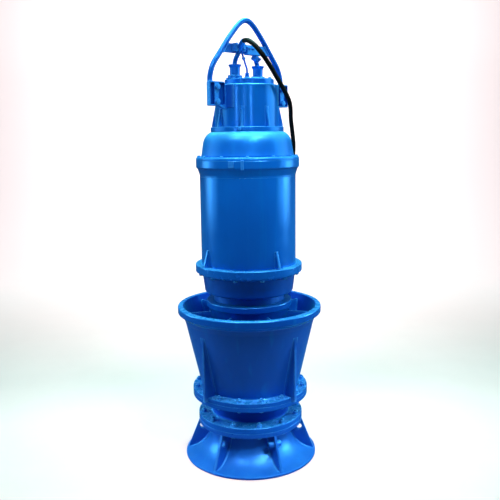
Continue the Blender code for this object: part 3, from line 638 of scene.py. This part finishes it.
def cable():
    """The free cable: its arc, its drop behind the motor, the coil behind the bell, and its sleeved end."""
    hanging = spline(CABLE_ROUTE, 0.062)
    turns = coil_turns()
    turn = radians(COIL_END_ANGLE)
    heading = Vector((-sin(turn), cos(turn), 0))
    rises = ((0.05, 0.001), (SLEEVE_START, 0.003), (SLEEVE_START + 0.9 * SLEEVE_LENGTH, 0.003))
    tail = [Vector(turns[-1]) + heading * d + Vector((0, 0, rise)) for d, rise in rises]
    line = [*hanging, *turns, *tail]
    curve = bpy.data.curves.new("supply_cable_sheath", "CURVE")
    curve.dimensions = "3D"
    curve.bevel_depth = CABLE_RADIUS
    curve.bevel_resolution = 5
    curve.resolution_u = 6
    curve.use_fill_caps = True
    path = curve.splines.new("BEZIER")
    path.bezier_points.add(len(line) - 1)
    for point, place in zip(path.bezier_points, line):
        point.co = place
        point.handle_left_type = point.handle_right_type = "AUTO"
    obj = bpy.data.objects.new("supply_cable_sheath", curve)
    placed(obj, RUBBER, ["supply_cable", "cable_coil"])
    sleeve = end_sleeve(Vector(turns[-1]), heading)
    boot = painted_boot()
    ties = coil_ties()


def end_sleeve(coil_end, heading):
    """The sealed sleeve on the cable's far end, which lies on the floor."""
    middle = coil_end + heading * SLEEVE_START
    middle.z = SLEEVE_RADIUS
    along = Matrix.Translation(middle) @ heading.to_track_quat("Z", "Y").to_matrix().to_4x4()
    radius, length = SLEEVE_RADIUS, SLEEVE_LENGTH
    corners = [
        (radius - 0.0016, 0, 0.0008), (radius - 0.0006, 0.006, 0.002),
        (radius - 0.001, 0.02, 0.004), (radius, 0.026, 0.002), (radius, 0.052, 0.002),
        (radius - 0.0012, 0.058, 0.003), (radius - 0.0016, length - 0.012, 0.004),
        (radius - 0.005, length - 0.002, 0.003), (radius - 0.008, length, 0.001),
    ]
    shape = turned(corners, 40, along)
    return piece("cable_end_sleeve", [shape], SLEEVE, ["cable_end_cap"])


def painted_boot():
    """The first stretch of the cable, painted over with the pump."""
    first = spline(CABLE_ROUTE, 0.004)[:17]
    lead_in = first[0] + (first[0] - first[1]).normalized() * 0.01
    line = [lead_in, *first]
    swelling = [0.0118, 0.0124, 0.0122, 0.0113, 0.011, 0.0103]
    radii = np.interp(range(len(line)), [0, 1, 4, 14, 16, 17], swelling)
    return piece("cable_boot", [tube_points(line, radii, 32)], ENAMEL_SMOOTH, sharp=40)


def coil_ties():
    """Three bands round all the coil's turns."""
    width, top, half_depth = 0.0235, 0.091, 0.009
    band = [(-width, 0.0005), (width, 0.0005), (width, 0.068), (0.004, top), (-width, top)]
    outer = rounded([(x, y, 0.006) for x, y in band])
    inner = [(x * 0.955, 0.0435 + (y - 0.0435) * 0.972) for x, y in outer]
    loops = [(-half_depth, inner), (-half_depth, outer), (half_depth, outer), (half_depth, inner)]
    loops.append(loops[0])
    ties = []
    for azimuth in TIE_AZIMUTHS:
        turn_place = at_azimuth(azimuth, (INNER_TURN + OUTER_TURN) / 2)
        place = Matrix.Translation((*COIL_CENTRE, 0)) @ turn_place @ ON_ITS_SIDE
        ties.append(loft([[place @ Vector((x, y, z)) for x, y in loop] for z, loop in loops], False))
    return piece("coil_ties", ties, SLEEVE, sharp=40)


cable()


# Suction bell and impeller casing

FLANGE_RADIUS = 0.2535
LARGE_FLANGE_RADIUS = 0.2785
THROAT_RADIUS = 0.17
BELL_CENTRE = (0.316, 0.158)
BELL_OUTER = (0.128, 0.145)
BELL_INNER = (0.146, 0.157)
RIB_AZIMUTHS = (-93, -33, 27, 87, 147, 207)


def suction_bell():
    outer = [(r, z, 0) for r, z in arc(BELL_CENTRE, BELL_OUTER, 180, 264, 36)]
    inner = [(r, z, 0) for r, z in arc(BELL_CENTRE, BELL_INNER, 262, 180, 36) if r < 0.294]
    corners = [
        (FLANGE_RADIUS, 0.19, 0.0015), (FLANGE_RADIUS, 0.168, 0.0025), (0.196, 0.168, 0.006),
        *outer, (0.3197, 0.0115, 0.003), (0.3205, 0.0085, 0.002), (0.3205, 0.004, 0.002),
        (0.3185, 0, 0.002), (0.298, 0, 0.003), *inner, (THROAT_RADIUS, 0.19, 0.001),
    ]
    # Painted shade: the bell is darkened, its flange top less so and with more painted sheen, and its lip's
    # underside more
    bell = piece("bell_trumpet", [lathe(rounded(corners), 180)], ENAMEL_BELL, nodes=["suction_bell"])
    mark(bell, ENAMEL_SHADE, lambda centre: centre.z > 0.18)
    mark(bell, ENAMEL_DEEP_SHADE, lambda centre: centre.z < 0.0105)
    sections = 30
    wall = arc(BELL_CENTRE, BELL_OUTER, 180, 262, sections)
    wall[0] = (0.188, 0.172)
    shares = [(k / sections) ** 1.15 for k in range(sections + 1)]
    edge = [(0.25 + (0.3135 - 0.25) * share, 0.172 + (0.0105 - 0.172) * share) for share in shares]
    ribs = [fin(wall, edge, 0.013, azimuth, flare=0.009, nose=0.003) for azimuth in RIB_AZIMUTHS]
    # The ribs get the dark painted shade
    ribs = piece("bell_ribs", ribs, ENAMEL_DEEP_SHADE, nodes=["suction_bell"], sharp=40)
    ribs.modifiers.clear()
    half_hole = [(0, 0.03), (0.0155, 0.03), (0.0155, 0.0062), (0.0125, 0.0048)]
    hole = half_hole + [(radius, -height) for radius, height in reversed(half_hole)]
    places = [at_azimuth(azimuth, 0.2415, 0.124) @ ON_ITS_SIDE for azimuth in RIB_AZIMUTHS]
    cut(ribs, [lathe(hole, 40, False, place) for place in places])


def impeller_casing():
    corners = [
        (LARGE_FLANGE_RADIUS, 0.3272, 0.001), (LARGE_FLANGE_RADIUS, 0.3065, 0.003),
        (0.184, 0.3065, 0.01), (0.184, 0.216, 0.012), (FLANGE_RADIUS, 0.216, 0.003),
        (FLANGE_RADIUS, 0.1903, 0.001), (THROAT_RADIUS, 0.1903, 0.001),
        (THROAT_RADIUS, 0.3272, 0.001),
    ]
    shape = lathe(rounded(corners), 180)
    # Painted shade on the casing, darkest on its neck under the flange
    casing = piece("impeller_casing_ring", [shape], ENAMEL_SHADE, nodes=["impeller_casing"])
    mark(casing, ENAMEL_DARKEST_SHADE, lambda centre: 0.22 < centre.z < 0.304)


def flange_bolts(name, circle, top, bottom, azimuths, size):
    """Studs with nuts above a flange, and hexagonal heads below it."""
    shapes = []
    for number, azimuth in enumerate(azimuths):
        twist = Matrix.Rotation(radians(23 * number % 60), 4, "Z")
        shapes += nut_and_stud(at_azimuth(azimuth, circle, top) @ twist, size)
        below = at_azimuth(azimuth, circle, bottom) @ UPSIDE_DOWN @ twist
        shapes.append(hexagon(below, 1.5 * size, 0.6 * size))
    piece(name, shapes, ENAMEL_FASTENER)


def impeller():
    """The hub, the nose and four blades, which show from below."""
    hub = turned([(0.085, 0.338, 0.003), (0.085, 0.196, 0.001)], 96)
    piece("impeller_hub_body", [hub], BRONZE, ["impeller_hub"])
    nose_top, nose_tip = 0.1957, 0.118
    side = arc((0, nose_top), (0.084, nose_top - nose_tip), 0, -86, 20)
    nose = [(0, nose_top), *side, (0.01, 0.1185), (0.0095, 0.1182), (0, nose_tip)]
    piece("impeller_nose_cap", [lathe(nose, 96, False)], BRONZE, ["impeller_nose"])
    chord, middle, root, tip, sections, sides = 0.125, 0.262, 0.082, 0.1655, 14, 36
    for number in range(4):
        rings = []
        for k in range(sections + 1):
            radius = root + (tip - root) * k / sections
            pitch = atan2(0.085 * tan(radians(40)), radius)
            ring = []
            for j in range(sides):
                a = 2 * pi * j / sides
                along = 0.5 * cos(a)
                half = 0.005 * abs(sin(a)) ** 0.8 * (1.15 - 0.35 * k / sections)
                half *= copysign(1, sin(a))
                turn = (along * chord * cos(pitch) - half * sin(pitch)) / radius
                turn += pi / 2 * number
                rise = along * chord * sin(pitch) + half * cos(pitch)
                ring.append((radius * cos(turn), radius * sin(turn), middle + rise))
            rings.append(ring)
        name = f"impeller_blade_{number + 1}"
        piece(f"{name}_cast", [loft(rings)], BRONZE, [name], 45)


suction_bell()
impeller_casing()
impeller()
flange_bolts("lower_flange_bolts", 0.232, 0.216, 0.168, [10 + 30 * k for k in range(12)], 0.015)


# Diffuser, with the radii of its cone and its hub by height

def cone_radius(height):
    return 0.234 + 0.2298 * (height - 0.348)


def inner_cone_radius(height):
    return 0.2215 + 0.242 * (height - 0.358)


def hub_radius(height):
    return 0.09 + 0.262 * (height - 0.34)


def diffuser_shell():
    corners = [
        (0.3436, 0.75, 0.0085), (0.3436, 0.718, 0.006),
        (cone_radius(0.69) + 0.006, 0.6985, 0.012), (cone_radius(0.672), 0.672, 0.02),
        (cone_radius(0.356), 0.356, 0.01), (0.243, 0.348, 0.004),
        (LARGE_FLANGE_RADIUS, 0.348, 0.003), (LARGE_FLANGE_RADIUS, 0.3275, 0.001),
        (THROAT_RADIUS, 0.3275, 0.001), (0.192, 0.338, 0.01),
        (inner_cone_radius(0.365), 0.365, 0.01), (inner_cone_radius(0.7), 0.7, 0.01),
        (0.315, 0.74, 0.004), (0.317, 0.75, 0.005),
    ]
    # Painted shade on the cone: its outside, which faces down, darker, and its inside darkest
    cone = piece("diffuser_cone", [lathe(rounded(corners), 192)], ENAMEL_SHADE, nodes=["diffuser_shell"])
    mark(cone, ENAMEL_DEEP_SHADE, lambda centre: 0.36 < centre.z < 0.7)
    shapes = []
    reach, bottom = 0.3, 0.331
    top = 0.348 + (reach - 0.234) / 0.2298
    sections = 24
    for azimuth in (-45.7, 44.3, 134.3, 224.3):
        wall, edge = [], []
        for k in range(sections + 1):
            height = bottom + (top + 0.004 - bottom) * k / sections
            wall.append((cone_radius(height), height))
            edge.append((max(reach, cone_radius(height) + 0.0002), height))
        shapes.append(fin(wall, edge, 0.014, azimuth, flare=0.009, nose=0.003))
    # The ribs get the dark painted shade
    piece("diffuser_ribs", shapes, ENAMEL_DEEP_SHADE, nodes=["diffuser_shell"], sharp=40)
    # Painted shade on the cone's inside
    mark(cone, ENAMEL_DARKEST_SHADE, lines_the_cone)


def lines_the_cone(centre):
    """Whether a face's centre is on the cone's inside."""
    return centre.z > 0.36 and hypot(centre.x, centre.y) < inner_cone_radius(centre.z) + 0.003


def diffuser_hub():
    corners = [
        (0.196, 0.775, 0), (0.204, 0.775, 0.004), (0.204, 0.749, 0.003),
        (hub_radius(0.742) + 0.001, 0.742, 0.005), (hub_radius(0.346), 0.346, 0.004),
        (hub_radius(0.34) - 0.006, 0.34, 0.003),
    ]
    # Painted shade on the hub, darkest on its ring's top
    hub = solid("diffuser_hub_bowl", corners, ["diffuser_hub"], ENAMEL_SHADE)
    mark(hub, ENAMEL_DARKEST_SHADE, lambda centre: centre.z > 0.7745)


def guide_vanes():
    """Seven curved vanes, upright at their tops, with cast fillets at hub and shell."""
    bottom, top, sweep = 0.44, 0.722, radians(38)
    flare = 0.009
    rows = 26
    for number in range(7):
        rings = []
        for row in range(rows + 1):
            share = row / rows
            height = bottom + (top - bottom) * share
            middle = radians(90 + 360 * number / 7) - sweep * (1 - share) ** 2
            lean = 2 * sweep * (1 - share) / (top - bottom)
            inner, outer = hub_radius(height) - 0.002, inner_cone_radius(height) + 0.002
            reach = outer - inner
            side = []
            for k in range(13):
                d = reach * (0.5 - 0.5 * cos(pi * k / 12))
                near = min(max(min(d, reach - d) - 0.002, 0), flare)
                extra = flare - sqrt(flare**2 - (flare - near) ** 2)
                taper = min(1, 0.35 + 6 * min(share, 1 - share) ** 0.8)
                side.append((inner + d, 0.0055 * taper + extra * 0.8))
            ring = []
            for radius, half in side + [(radius, -half) for radius, half in reversed(side)]:
                angle = middle + half * hypot(1, radius * lean) / radius
                ring.append((radius * cos(angle), radius * sin(angle), height))
            rings.append(ring)
        name = f"guide_vane_{number + 1}"
        piece(f"{name}_cast", [loft(rings)], ENAMEL_CAST, nodes=[name], sharp=40)


diffuser_shell()
diffuser_hub()
guide_vanes()
flange_bolts("upper_flange_bolts", 0.2595, 0.348, 0.3065, [11.25 + 22.5 * k for k in range(16)], 0.013)


# Motor

BARREL_RADIUS = 0.224


def motor():
    # The spigot and the oil chamber, which face down under the flange, get the dark painted shade
    spigot = [(0.168, 0.8157, 0.001), (0.168, 0.7753, 0.001)]
    solid("motor_spigot_body", spigot, ["motor_spigot"], ENAMEL_DEEP_SHADE)
    chamber = [
        (0.2205, 0.9077, 0.001), (0.2175, 0.8777, 0.03), (0.2105, 0.822, 0.01),
        (0.2045, 0.816, 0.004),
    ]
    solid("oil_chamber_body", chamber, ["oil_chamber"], ENAMEL_DEEP_SHADE)
    lower = [(0.253, 0.952, 0.005), (0.253, 0.9165, 0.006), (0.241, 0.908, 0.005)]
    solid("motor_lower_flange_ring", lower, ["motor_lower_flange"], ENAMEL_CAST)
    wall = [(BARREL_RADIUS, 0.95 + 0.08 * k / 10) for k in range(11)]
    edge = [(0.248 - (0.248 - 0.2285) * max(0, (z - 0.962) / (1.03 - 0.962)), z) for _, z in wall]
    gussets = [fin(wall, edge, 0.012, azimuth, flare=0.006, nose=0.0025) for azimuth in (-56, 34, 124, 214)]
    piece("motor_gussets", gussets, ENAMEL_CAST, nodes=["motor_lower_flange"], sharp=40)
    barrel = [(BARREL_RADIUS, 1.362, 0.0005), (BARREL_RADIUS, 0.9523, 0.0005)]
    solid("motor_barrel_shell", barrel, ["motor_barrel"], ENAMEL_ROLLED, 192)
    upper = [
        (0.2345, 1.453, 0.0015), (0.2388, 1.4475, 0.003), (0.2405, 1.439, 0.0015),
        (0.2395, 1.4375, 0.0006), (0.2405, 1.436, 0.0006), (0.2405, 1.405, 0.004),
        (0.2335, 1.397, 0.006), (0.2245, 1.3705, 0.01),
        (BARREL_RADIUS, 1.3623, 0.001),
    ]
    solid("motor_upper_flange_ring", upper, ["motor_upper_flange"], ENAMEL_SMOOTH, 192)
    shoulder = [
        (0.167, 1.5655, 0.002), (0.174, 1.561, 0), (0.18, 1.5576, 0), (0.186, 1.5528, 0),
        (0.1913, 1.547, 0), (0.1958, 1.5405, 0), (0.1997, 1.5332, 0), (0.203, 1.5245, 0),
        (0.2058, 1.5135, 0), (0.2082, 1.5, 0), (0.2103, 1.485, 0), (0.2122, 1.471, 0),
        (0.215, 1.46, 0.004), (0.215, 1.4533, 0.0005),
    ]
    # The shoulder's enamel carries extra painted sheen on its upward faces
    solid("motor_shoulder_cap", shoulder, ["motor_shoulder"], ENAMEL_DOME, 192)
    ring = [(0.169, 1.586, 0.003), (0.169, 1.5658, 0.001)]
    solid("box_base_ring_body", ring, ["box_base_ring"])
    heads = []
    for k in range(12):
        heads.append(hexagon(at_azimuth(15 + 30 * k, 0.232, 0.9085) @ UPSIDE_DOWN, 0.018, 0.009))
        heads.append(hexagon(at_azimuth(30 * k, 0.2272, 1.4525), 0.0135, 0.006))
    piece("motor_flange_bolts", heads, ENAMEL_FASTENER)
    bosses = []
    for azimuth, half_width, low, high in ((-5.5, 0.0075, 1.398, 1.44), (-17.4, 0.013, 1.408, 1.437)):
        face = at_azimuth(azimuth, 0.2395, 0) @ OUTWARDS
        outline = [(-low, -half_width), (-low, half_width), (-high, half_width), (-high, -half_width)]
        bosses.append(slab(outline, 0.01, face, 0.003, 0.002))
    piece("head_flange_bosses", bosses, ENAMEL_SMOOTH)


motor()


# Junction box, glands and leads

DRUM_RADIUS = 0.1461
GUSSET_AZIMUTHS = range(-98, 218, 45)
LUG_FRONT = 0.0283
LUG_THICKNESS = 0.02
LUG_OUTLINE = (
    (0.12, 1.768), (0.12, 1.663), (0.155, 1.663), (0.185, 1.677), (0.236, 1.677), (0.236, 1.782),
    (0.155, 1.782), (0.148, 1.768),
)


def junction_box():
    body = [(DRUM_RADIUS, 1.773, 0.007), (DRUM_RADIUS, 1.5863, 0.001)]
    solid("junction_box_drum", body, ["junction_box"], ENAMEL_GLOSSY)
    wall = [(DRUM_RADIUS, 1.5863 + 0.09 * k / 12) for k in range(13)]
    edge = [(0.1655 - (0.1655 - 0.1485) * max(0, (z - 1.5965) / 0.08), z) for _, z in wall]
    gussets = [fin(wall, edge, 0.011, azimuth, flare=0.005, nose=0.0025) for azimuth in GUSSET_AZIMUTHS]
    piece("junction_box_gussets", gussets, ENAMEL_CAST, nodes=["junction_box"], sharp=40)
    bail_lugs()
    lid_place = Matrix.Translation((0.012, 0, 0))
    lid = turned([(0.1128, 1.799, 0.005), (0.1128, 1.7733, 0.001)], matrix=lid_place)
    piece("box_lid_plate", [lid], ENAMEL_SMOOTH, nodes=["box_lid"])
    screws = []
    for k in range(10):
        screws.append(hexagon(lid_place @ at_azimuth(30 + 36 * k, 0.101, 1.7985), 0.013, 0.007, 0.0008))
    plug = at_azimuth(-11, 0.1675, 1.5758) @ OUTWARDS
    screws.append(disc(plug, 0.0078, 0.003))
    screws.append(hexagon(plug @ Matrix.Translation((0, 0, 0.002)), 0.0115, 0.006, 0.0008))
    piece("box_screws", screws, ENAMEL_FASTENER)


def bail_lugs():
    """The drum's two lugs with their pockets, and the cast pads that they stand on; pads and pockets are
    darkened by painted shade.
    """
    edge = rounded([(0.144, 1.67, 0), (0.149, 1.67, 0.002), (0.149, 1.771, 0.002), (0.144, 1.771, 0)])
    pads = []
    for start in (-49, 131):
        pads.append(loft([[at_azimuth(start + 3 * k, r, z).translation for r, z in edge] for k in range(10)]))
    # The pads' dark enamel is painted shade beside the lugs
    piece("lug_pads", pads, ENAMEL_DEEP_SHADE, nodes=["junction_box"], sharp=40)
    shapes, pockets = [], []
    for side in (-1, 1):
        outline = [(side * x, y) for x, y in LUG_OUTLINE]
        middle = bail_frame(across=LUG_FRONT - LUG_THICKNESS / 2)
        shapes.append(slab(outline, LUG_THICKNESS, middle, 0.003, 0.0022))
        for inner, outer in ((0.152, 0.186), (0.209, 0.232)):
            pocket = oblong(side * inner, side * outer, 1.682, 1.777)
            pockets.append(slab(pocket, 0.03, bail_frame(across=LUG_FRONT), 0.004, 0.001))
    lugs = piece("bail_lugs", shapes, ENAMEL_CAST, nodes=["junction_box"])
    cut(lugs, pockets)
    # Painted shade in the lugs' pockets
    mark(lugs, ENAMEL_DEEP_SHADE, in_lug_pocket)


def in_lug_pocket(centre):
    """Whether a face's centre lies behind the lugs' fronts and inside their outer edges."""
    behind = (centre - in_bail_plane(0, LUG_FRONT, 0)).dot(in_bail_plane(0, 1, 0)) < -0.004
    return behind and abs(centre.dot(in_bail_plane(1, 0, 0))) < 0.2335


GLAND_OFFSET = 0.069
CONTROL_LEAD_RADIUS = 0.0045


def glands():
    for side, name in ((-1, "gland_left"), (1, "gland_right")):
        centre = Matrix.Translation(in_bail_plane(side * GLAND_OFFSET, 0, 0))
        corners = [
            (0.0262, 1.862, 0.0015), (0.029, 1.8612, 0.001), (0.029, 1.8578, 0.001),
            (0.0235, 1.848, 0.006), (0.0225, 1.814, 0.003), (0.033, 1.8115, 0.002),
            (0.033, 1.7993, 0.0005),
        ]
        shapes = [turned(corners, 48, centre)]
        for k in range(4):
            turn = Matrix.Rotation(radians(20 + 90 * k), 4, "Z")
            bolt = centre @ turn @ Matrix.Translation((0.0278, 0, 1.811))
            shapes.append(hexagon(bolt, 0.0085, 0.005, 0.0006))
        piece(f"{name}_body", shapes, ENAMEL_SMOOTH, nodes=[name])
    centre = Matrix.Translation(in_bail_plane(0, 0.004, 0))
    corners = [(0.0085, 1.8293, 0.001), (0.0095, 1.819, 0.001), (0.011, 1.811, 0.001), (0.011, 1.8093, 0)]
    nut = hexagon(centre @ Matrix.Translation((0, 0, 1.7993)), 0.0258, 0.0102, 0.001)
    piece("gland_control_body", [turned(corners, 32, centre), nut], ENAMEL_SMOOTH, nodes=["gland_control"])


def leads():
    """The painted stretches of cable between the glands and the crossbar."""
    start = Vector(CABLE_ROUTE[0])
    heading = (spline(CABLE_ROUTE, 0.048)[1] - start).normalized()
    left = [
        (-GLAND_OFFSET, 0, 1.86), (-GLAND_OFFSET, 0, 1.866), (-GLAND_OFFSET, 0.0025, 1.876),
        (-0.068, 0.009, 1.89), (-0.065, 0.0165, 1.904),
    ]
    right = [
        (0.067, 0, 1.86), (0.065, 0, 1.866), (0.06, 0.002, 1.876), (0.049, 0.009, 1.889),
        (0.041, 0.016, 1.901), (0.038, 0.018, 1.907),
    ]
    control = [
        (0, 0.004, 1.827), (0, 0.004, 1.835), (-0.004, 0.007, 1.846), (-0.017, 0.012, 1.866),
        (-0.03, 0.017, 1.888), (-0.039, 0.02, 1.902), (-0.043, 0.021, 1.911),
        (-0.043, 0.021, 1.917),
    ]
    left, right, control = [[in_bail_plane(*point) for point in run] for run in (left, right, control)]
    left += [start - 0.008 * heading, start + 0.002 * heading]
    runs = (
        ("lead_left", left, CABLE_RADIUS),
        ("lead_right", right, CABLE_RADIUS),
        ("lead_control", control, CONTROL_LEAD_RADIUS),
    )
    for name, route, radius in runs:
        shape = tube_points(spline(route, 0.003), radius, 24)
        piece(f"{name}_run", [shape], ENAMEL_SMOOTH, nodes=[name], sharp=50)
    tie_place = bail_frame(0.0465, 0.011, 1.8935) @ Matrix.Rotation(radians(-28), 4, "Z")
    ties = [slab(oblong(-0.015, 0.017, -0.01, 0.01), 0.03, tie_place, 0.004, 0.002)]
    for x in (-0.01, 0.011):
        ties += nut_and_stud(tie_place @ Matrix.Translation((x, 0.001, 0.0148)), 0.007)
    knot = oblong(-0.006, 0.006, -0.005, 0.005)
    ties.append(slab(knot, 0.013, bail_frame(-0.031, 0.0175, 1.889), 0.002, 0.001))
    # The ties get the dark painted shade
    piece("lead_ties", ties, ENAMEL_DEEP_SHADE)


junction_box()
glands()
leads()


# Lifting bail and its clamps

PLATE_THICKNESS = 0.016
BAR_RADIUS = 0.0119
CLAMP_FACE = 0.0053


def bail():
    half = [
        (0.2125, 1.7823), (0.2125, 1.798), (0.2075, 1.822), (0.1985, 1.846), (0.185, 1.869),
        (0.168, 1.891), (0.1465, 1.918), (0.125, 1.946), (0.1035, 1.973), (0.081, 1.999),
        (0.059, 2.023), (0.042, 2.039), (0.027, 2.05), (0.013, 2.0565), (0, 2.058),
    ]
    line = [(-along, height) for along, height in half] + half[-2::-1]
    points = spline([in_bail_plane(along, 0, height) for along, height in line], 0.007)
    bar = tube_points(points, BAR_RADIUS, 32)
    # The bar gets the painted shade
    piece("lifting_bail_bar", [bar], ENAMEL_SHADE, nodes=["lifting_bail"], sharp=50)
    for side, name in ((-1, "bail_plate_left"), (1, "bail_plate_right")):
        outline = [(0.172, 1.677), (0.226, 1.677), (0.226, 1.782), (0.19, 1.782), (0.172, 1.768)]
        shapes = [slab([(side * x, y) for x, y in outline], PLATE_THICKNESS, bail_frame(), 0.004, 0.002)]
        for height in (1.759, 1.695):
            front = bail_frame(side * 0.197, LUG_FRONT, height)
            rear = bail_frame(side * 0.197, -PLATE_THICKNESS / 2, height) @ UPSIDE_DOWN
            shapes.append(disc(front, 0.015, 0.0028))
            shapes.append(hexagon(front @ Matrix.Translation((0, 0, 0.0026)), 0.0235, 0.0095))
            shapes += nut_and_stud(rear, 0.015)
        piece(f"{name}_body", shapes, ENAMEL_FASTENER, nodes=[name])
    outline = [(-0.102, 1.952), (-0.134, 1.911), (0.134, 1.911), (0.102, 1.952)]
    crossbar = [slab(outline, 0.01, bail_frame(), 0.002, 0.0018)]
    for side in (-1, 1):
        for across in (0.004, -0.004):
            seam = [(side * (0.106 + 0.031 * k / 8), across, 1.952 - 0.041 * k / 8) for k in range(9)]
            crossbar.append(tube_points([in_bail_plane(*point) for point in seam], 0.0042, 10))
    # The crossbar gets the dark painted shade
    piece("bail_crossbar_plate", crossbar, ENAMEL_DEEP_SHADE, nodes=["bail_crossbar"])


def clamps():
    floor = CLAMP_FACE + 0.0025
    outline = [
        (-0.089, CLAMP_FACE), (-0.038, CLAMP_FACE), (-0.038, 0.04), (-0.048, 0.04),
        (-0.048, floor), (-0.08, floor), (-0.08, 0.038), (-0.089, 0.038),
    ]
    lying = bail_frame(height=1.952 - 0.018) @ ON_ITS_SIDE
    shapes = [slab(outline, 0.036, lying, 0, 0.0012)]
    for along, across in ((-0.0845, 0.0385), (-0.043, 0.0405)):
        for height in (1.925, 1.943):
            shapes.append(hexagon(bail_frame(along, across - 0.001, height), 0.0075, 0.0045, 0.0006))
    piece("supply_clamp_body", shapes, ENAMEL_FASTENER, nodes=["supply_clamp"])
    centre = (0.024, CLAMP_FACE + 0.014, 1.925)
    shapes = [slab(oblong(-0.046, 0.046, -0.02, 0.02), 0.028, bail_frame(*centre), 0.006, 0.003)]
    for along in (-0.012, 0.012, 0.058):
        shapes += nut_and_stud(bail_frame(along, CLAMP_FACE + 0.0275, 1.932), 0.0075)
    piece("lead_clamp_body", shapes, ENAMEL_FASTENER, nodes=["lead_clamp"])


bail()
clamps()


# Studio

NEAR_FLOOR = (0.86, 0.5, 0.49)
NEAR_FLOOR_LIGHT = (0.9, 0.53, 0.52)
FAR_FLOOR = (0.65, 0.5, 0.475)
CYAN = (0.42, 1, 0.97)
PALE = (0.85, 0.98, 1)
COOL = (0.78, 0.93, 1)
STREAK_TARGET = (0, 0, 1.68)


def light(name, place, target, width, height, power, spread, colour=COOL):
    """A rectangular light that faces its target, with its spread in degrees."""
    data = bpy.data.lights.new(name, "AREA")
    data.shape = "RECTANGLE"
    data.size, data.size_y = width, height
    data.energy = power
    data.color = colour
    data.spread = radians(spread)
    obj = bpy.data.objects.new(name, data)
    aim = (Vector(target) - Vector(place)).to_track_quat("-Z", "Y").to_matrix().to_4x4()
    obj.matrix_world = Matrix.Translation(place) @ aim
    link(obj)


def studio():
    """A pale floor that curves up into a backdrop, soft lights and a pale surround."""
    paint = Paint("studio_floor")
    tone = paint.ramp(paint.noise(1.4, 5, 0.6), [(0.3, NEAR_FLOOR), (0.7, NEAR_FLOOR_LIGHT)])
    tone = paint.mix(paint.away(1.6, 4.4), tone, FAR_FLOOR)
    rough = paint.ramp(paint.noise(6), [(0.3, 0.75), (0.7, 0.88)])
    normal = paint.bump(paint.noise(300, 2), 0.05, 0.0002)
    floor_material = paint.finish(tone, rough, normal, Specular_IOR_Level=0.2)
    half_width, front, back, bend, top = 14, -9, 4.5, 2.5, 9
    angles = np.linspace(0.05, pi / 2, 24)
    profile = [(front, 0), (back, 0)]
    profile += [(back + bend * sin(a), bend - bend * cos(a)) for a in angles]
    profile.append((back + bend, top))
    mesh = bpy.data.meshes.new("floor")
    points = [(x, y, z) for y, z in profile for x in (-half_width, half_width)]
    faces = [(2 * i, 2 * i + 1, 2 * i + 3, 2 * i + 2) for i in range(len(profile) - 1)]
    mesh.from_pydata(points, [], faces)
    mesh.shade_smooth()
    mesh.materials.append(floor_material)
    floor = bpy.data.objects.new("floor", mesh)
    link(floor)
    floor.visible_glossy = False

    light("overhead", (0, 0.6, 4.4), (0, 0.4, 0), 2.8, 2, 165, 130, (0.4, 1, 0.95))
    light("backdrop_wash", (0, 3.2, 4.2), (0, 6.8, 1.4), 7, 1, 620, 160)
    light("right_wall", (3, 0.3, 2), (0, 0, 1.5), 2.4, 2.4, 27, 130, CYAN)
    light("left_wall", (-3, 0.3, 2), (0, 0, 1.5), 2.2, 2.4, 18, 130, CYAN)
    light("front_high_left", (-1.1, -1.7, 4), (0, -0.1, 0.5), 0.8, 0.7, 6, 60)
    light("front_high_right", (1.1, -1.5, 4), (0, -0.1, 0.5), 0.9, 0.8, 10, 60)
    light("foot_left", (-2.4, 0.4, 1), (0, 0, 0.25), 0.9, 0.9, 3.4, 50, CYAN)
    light("foot_right", (2.4, 0.4, 1), (0, 0, 0.25), 0.9, 0.9, 4.6, 50, CYAN)
    light("shoulder_wash", (0.6, -2.3, 3.3), (0.02, -0.2, 1.53), 0.6, 0.4, 0.5, 12, (0.45, 1, 0.85))
    light("bell_right", (1.3, -1.7, 2.3), (0.12, -0.22, 0.08), 0.7, 0.45, 0.8, 12, PALE)
    light("bell_left", (-2.2, -0.6, 1.6), (-0.28, -0.05, 0.08), 0.5, 0.4, 0.5, 12, PALE)
    light("streak_left", (-1.83, -2.52, 1.84), STREAK_TARGET, 0.14, 0.5, 0.4, 60)
    light("streak_middle", (-0.45, -3.06, 1.84), STREAK_TARGET, 0.07, 0.5, 0.2, 60)
    light("streak_right", (0.76, -2.92, 1.86), STREAK_TARGET, 0.14, 0.5, 0.32, 60)
    world = bpy.data.worlds.new("surround")
    world.use_nodes = True
    background = world.node_tree.nodes["Background"]
    background.inputs["Color"].default_value = (0.9, 0.95, 1, 1)
    background.inputs["Strength"].default_value = 0.06
    bpy.context.scene.world = world


studio()
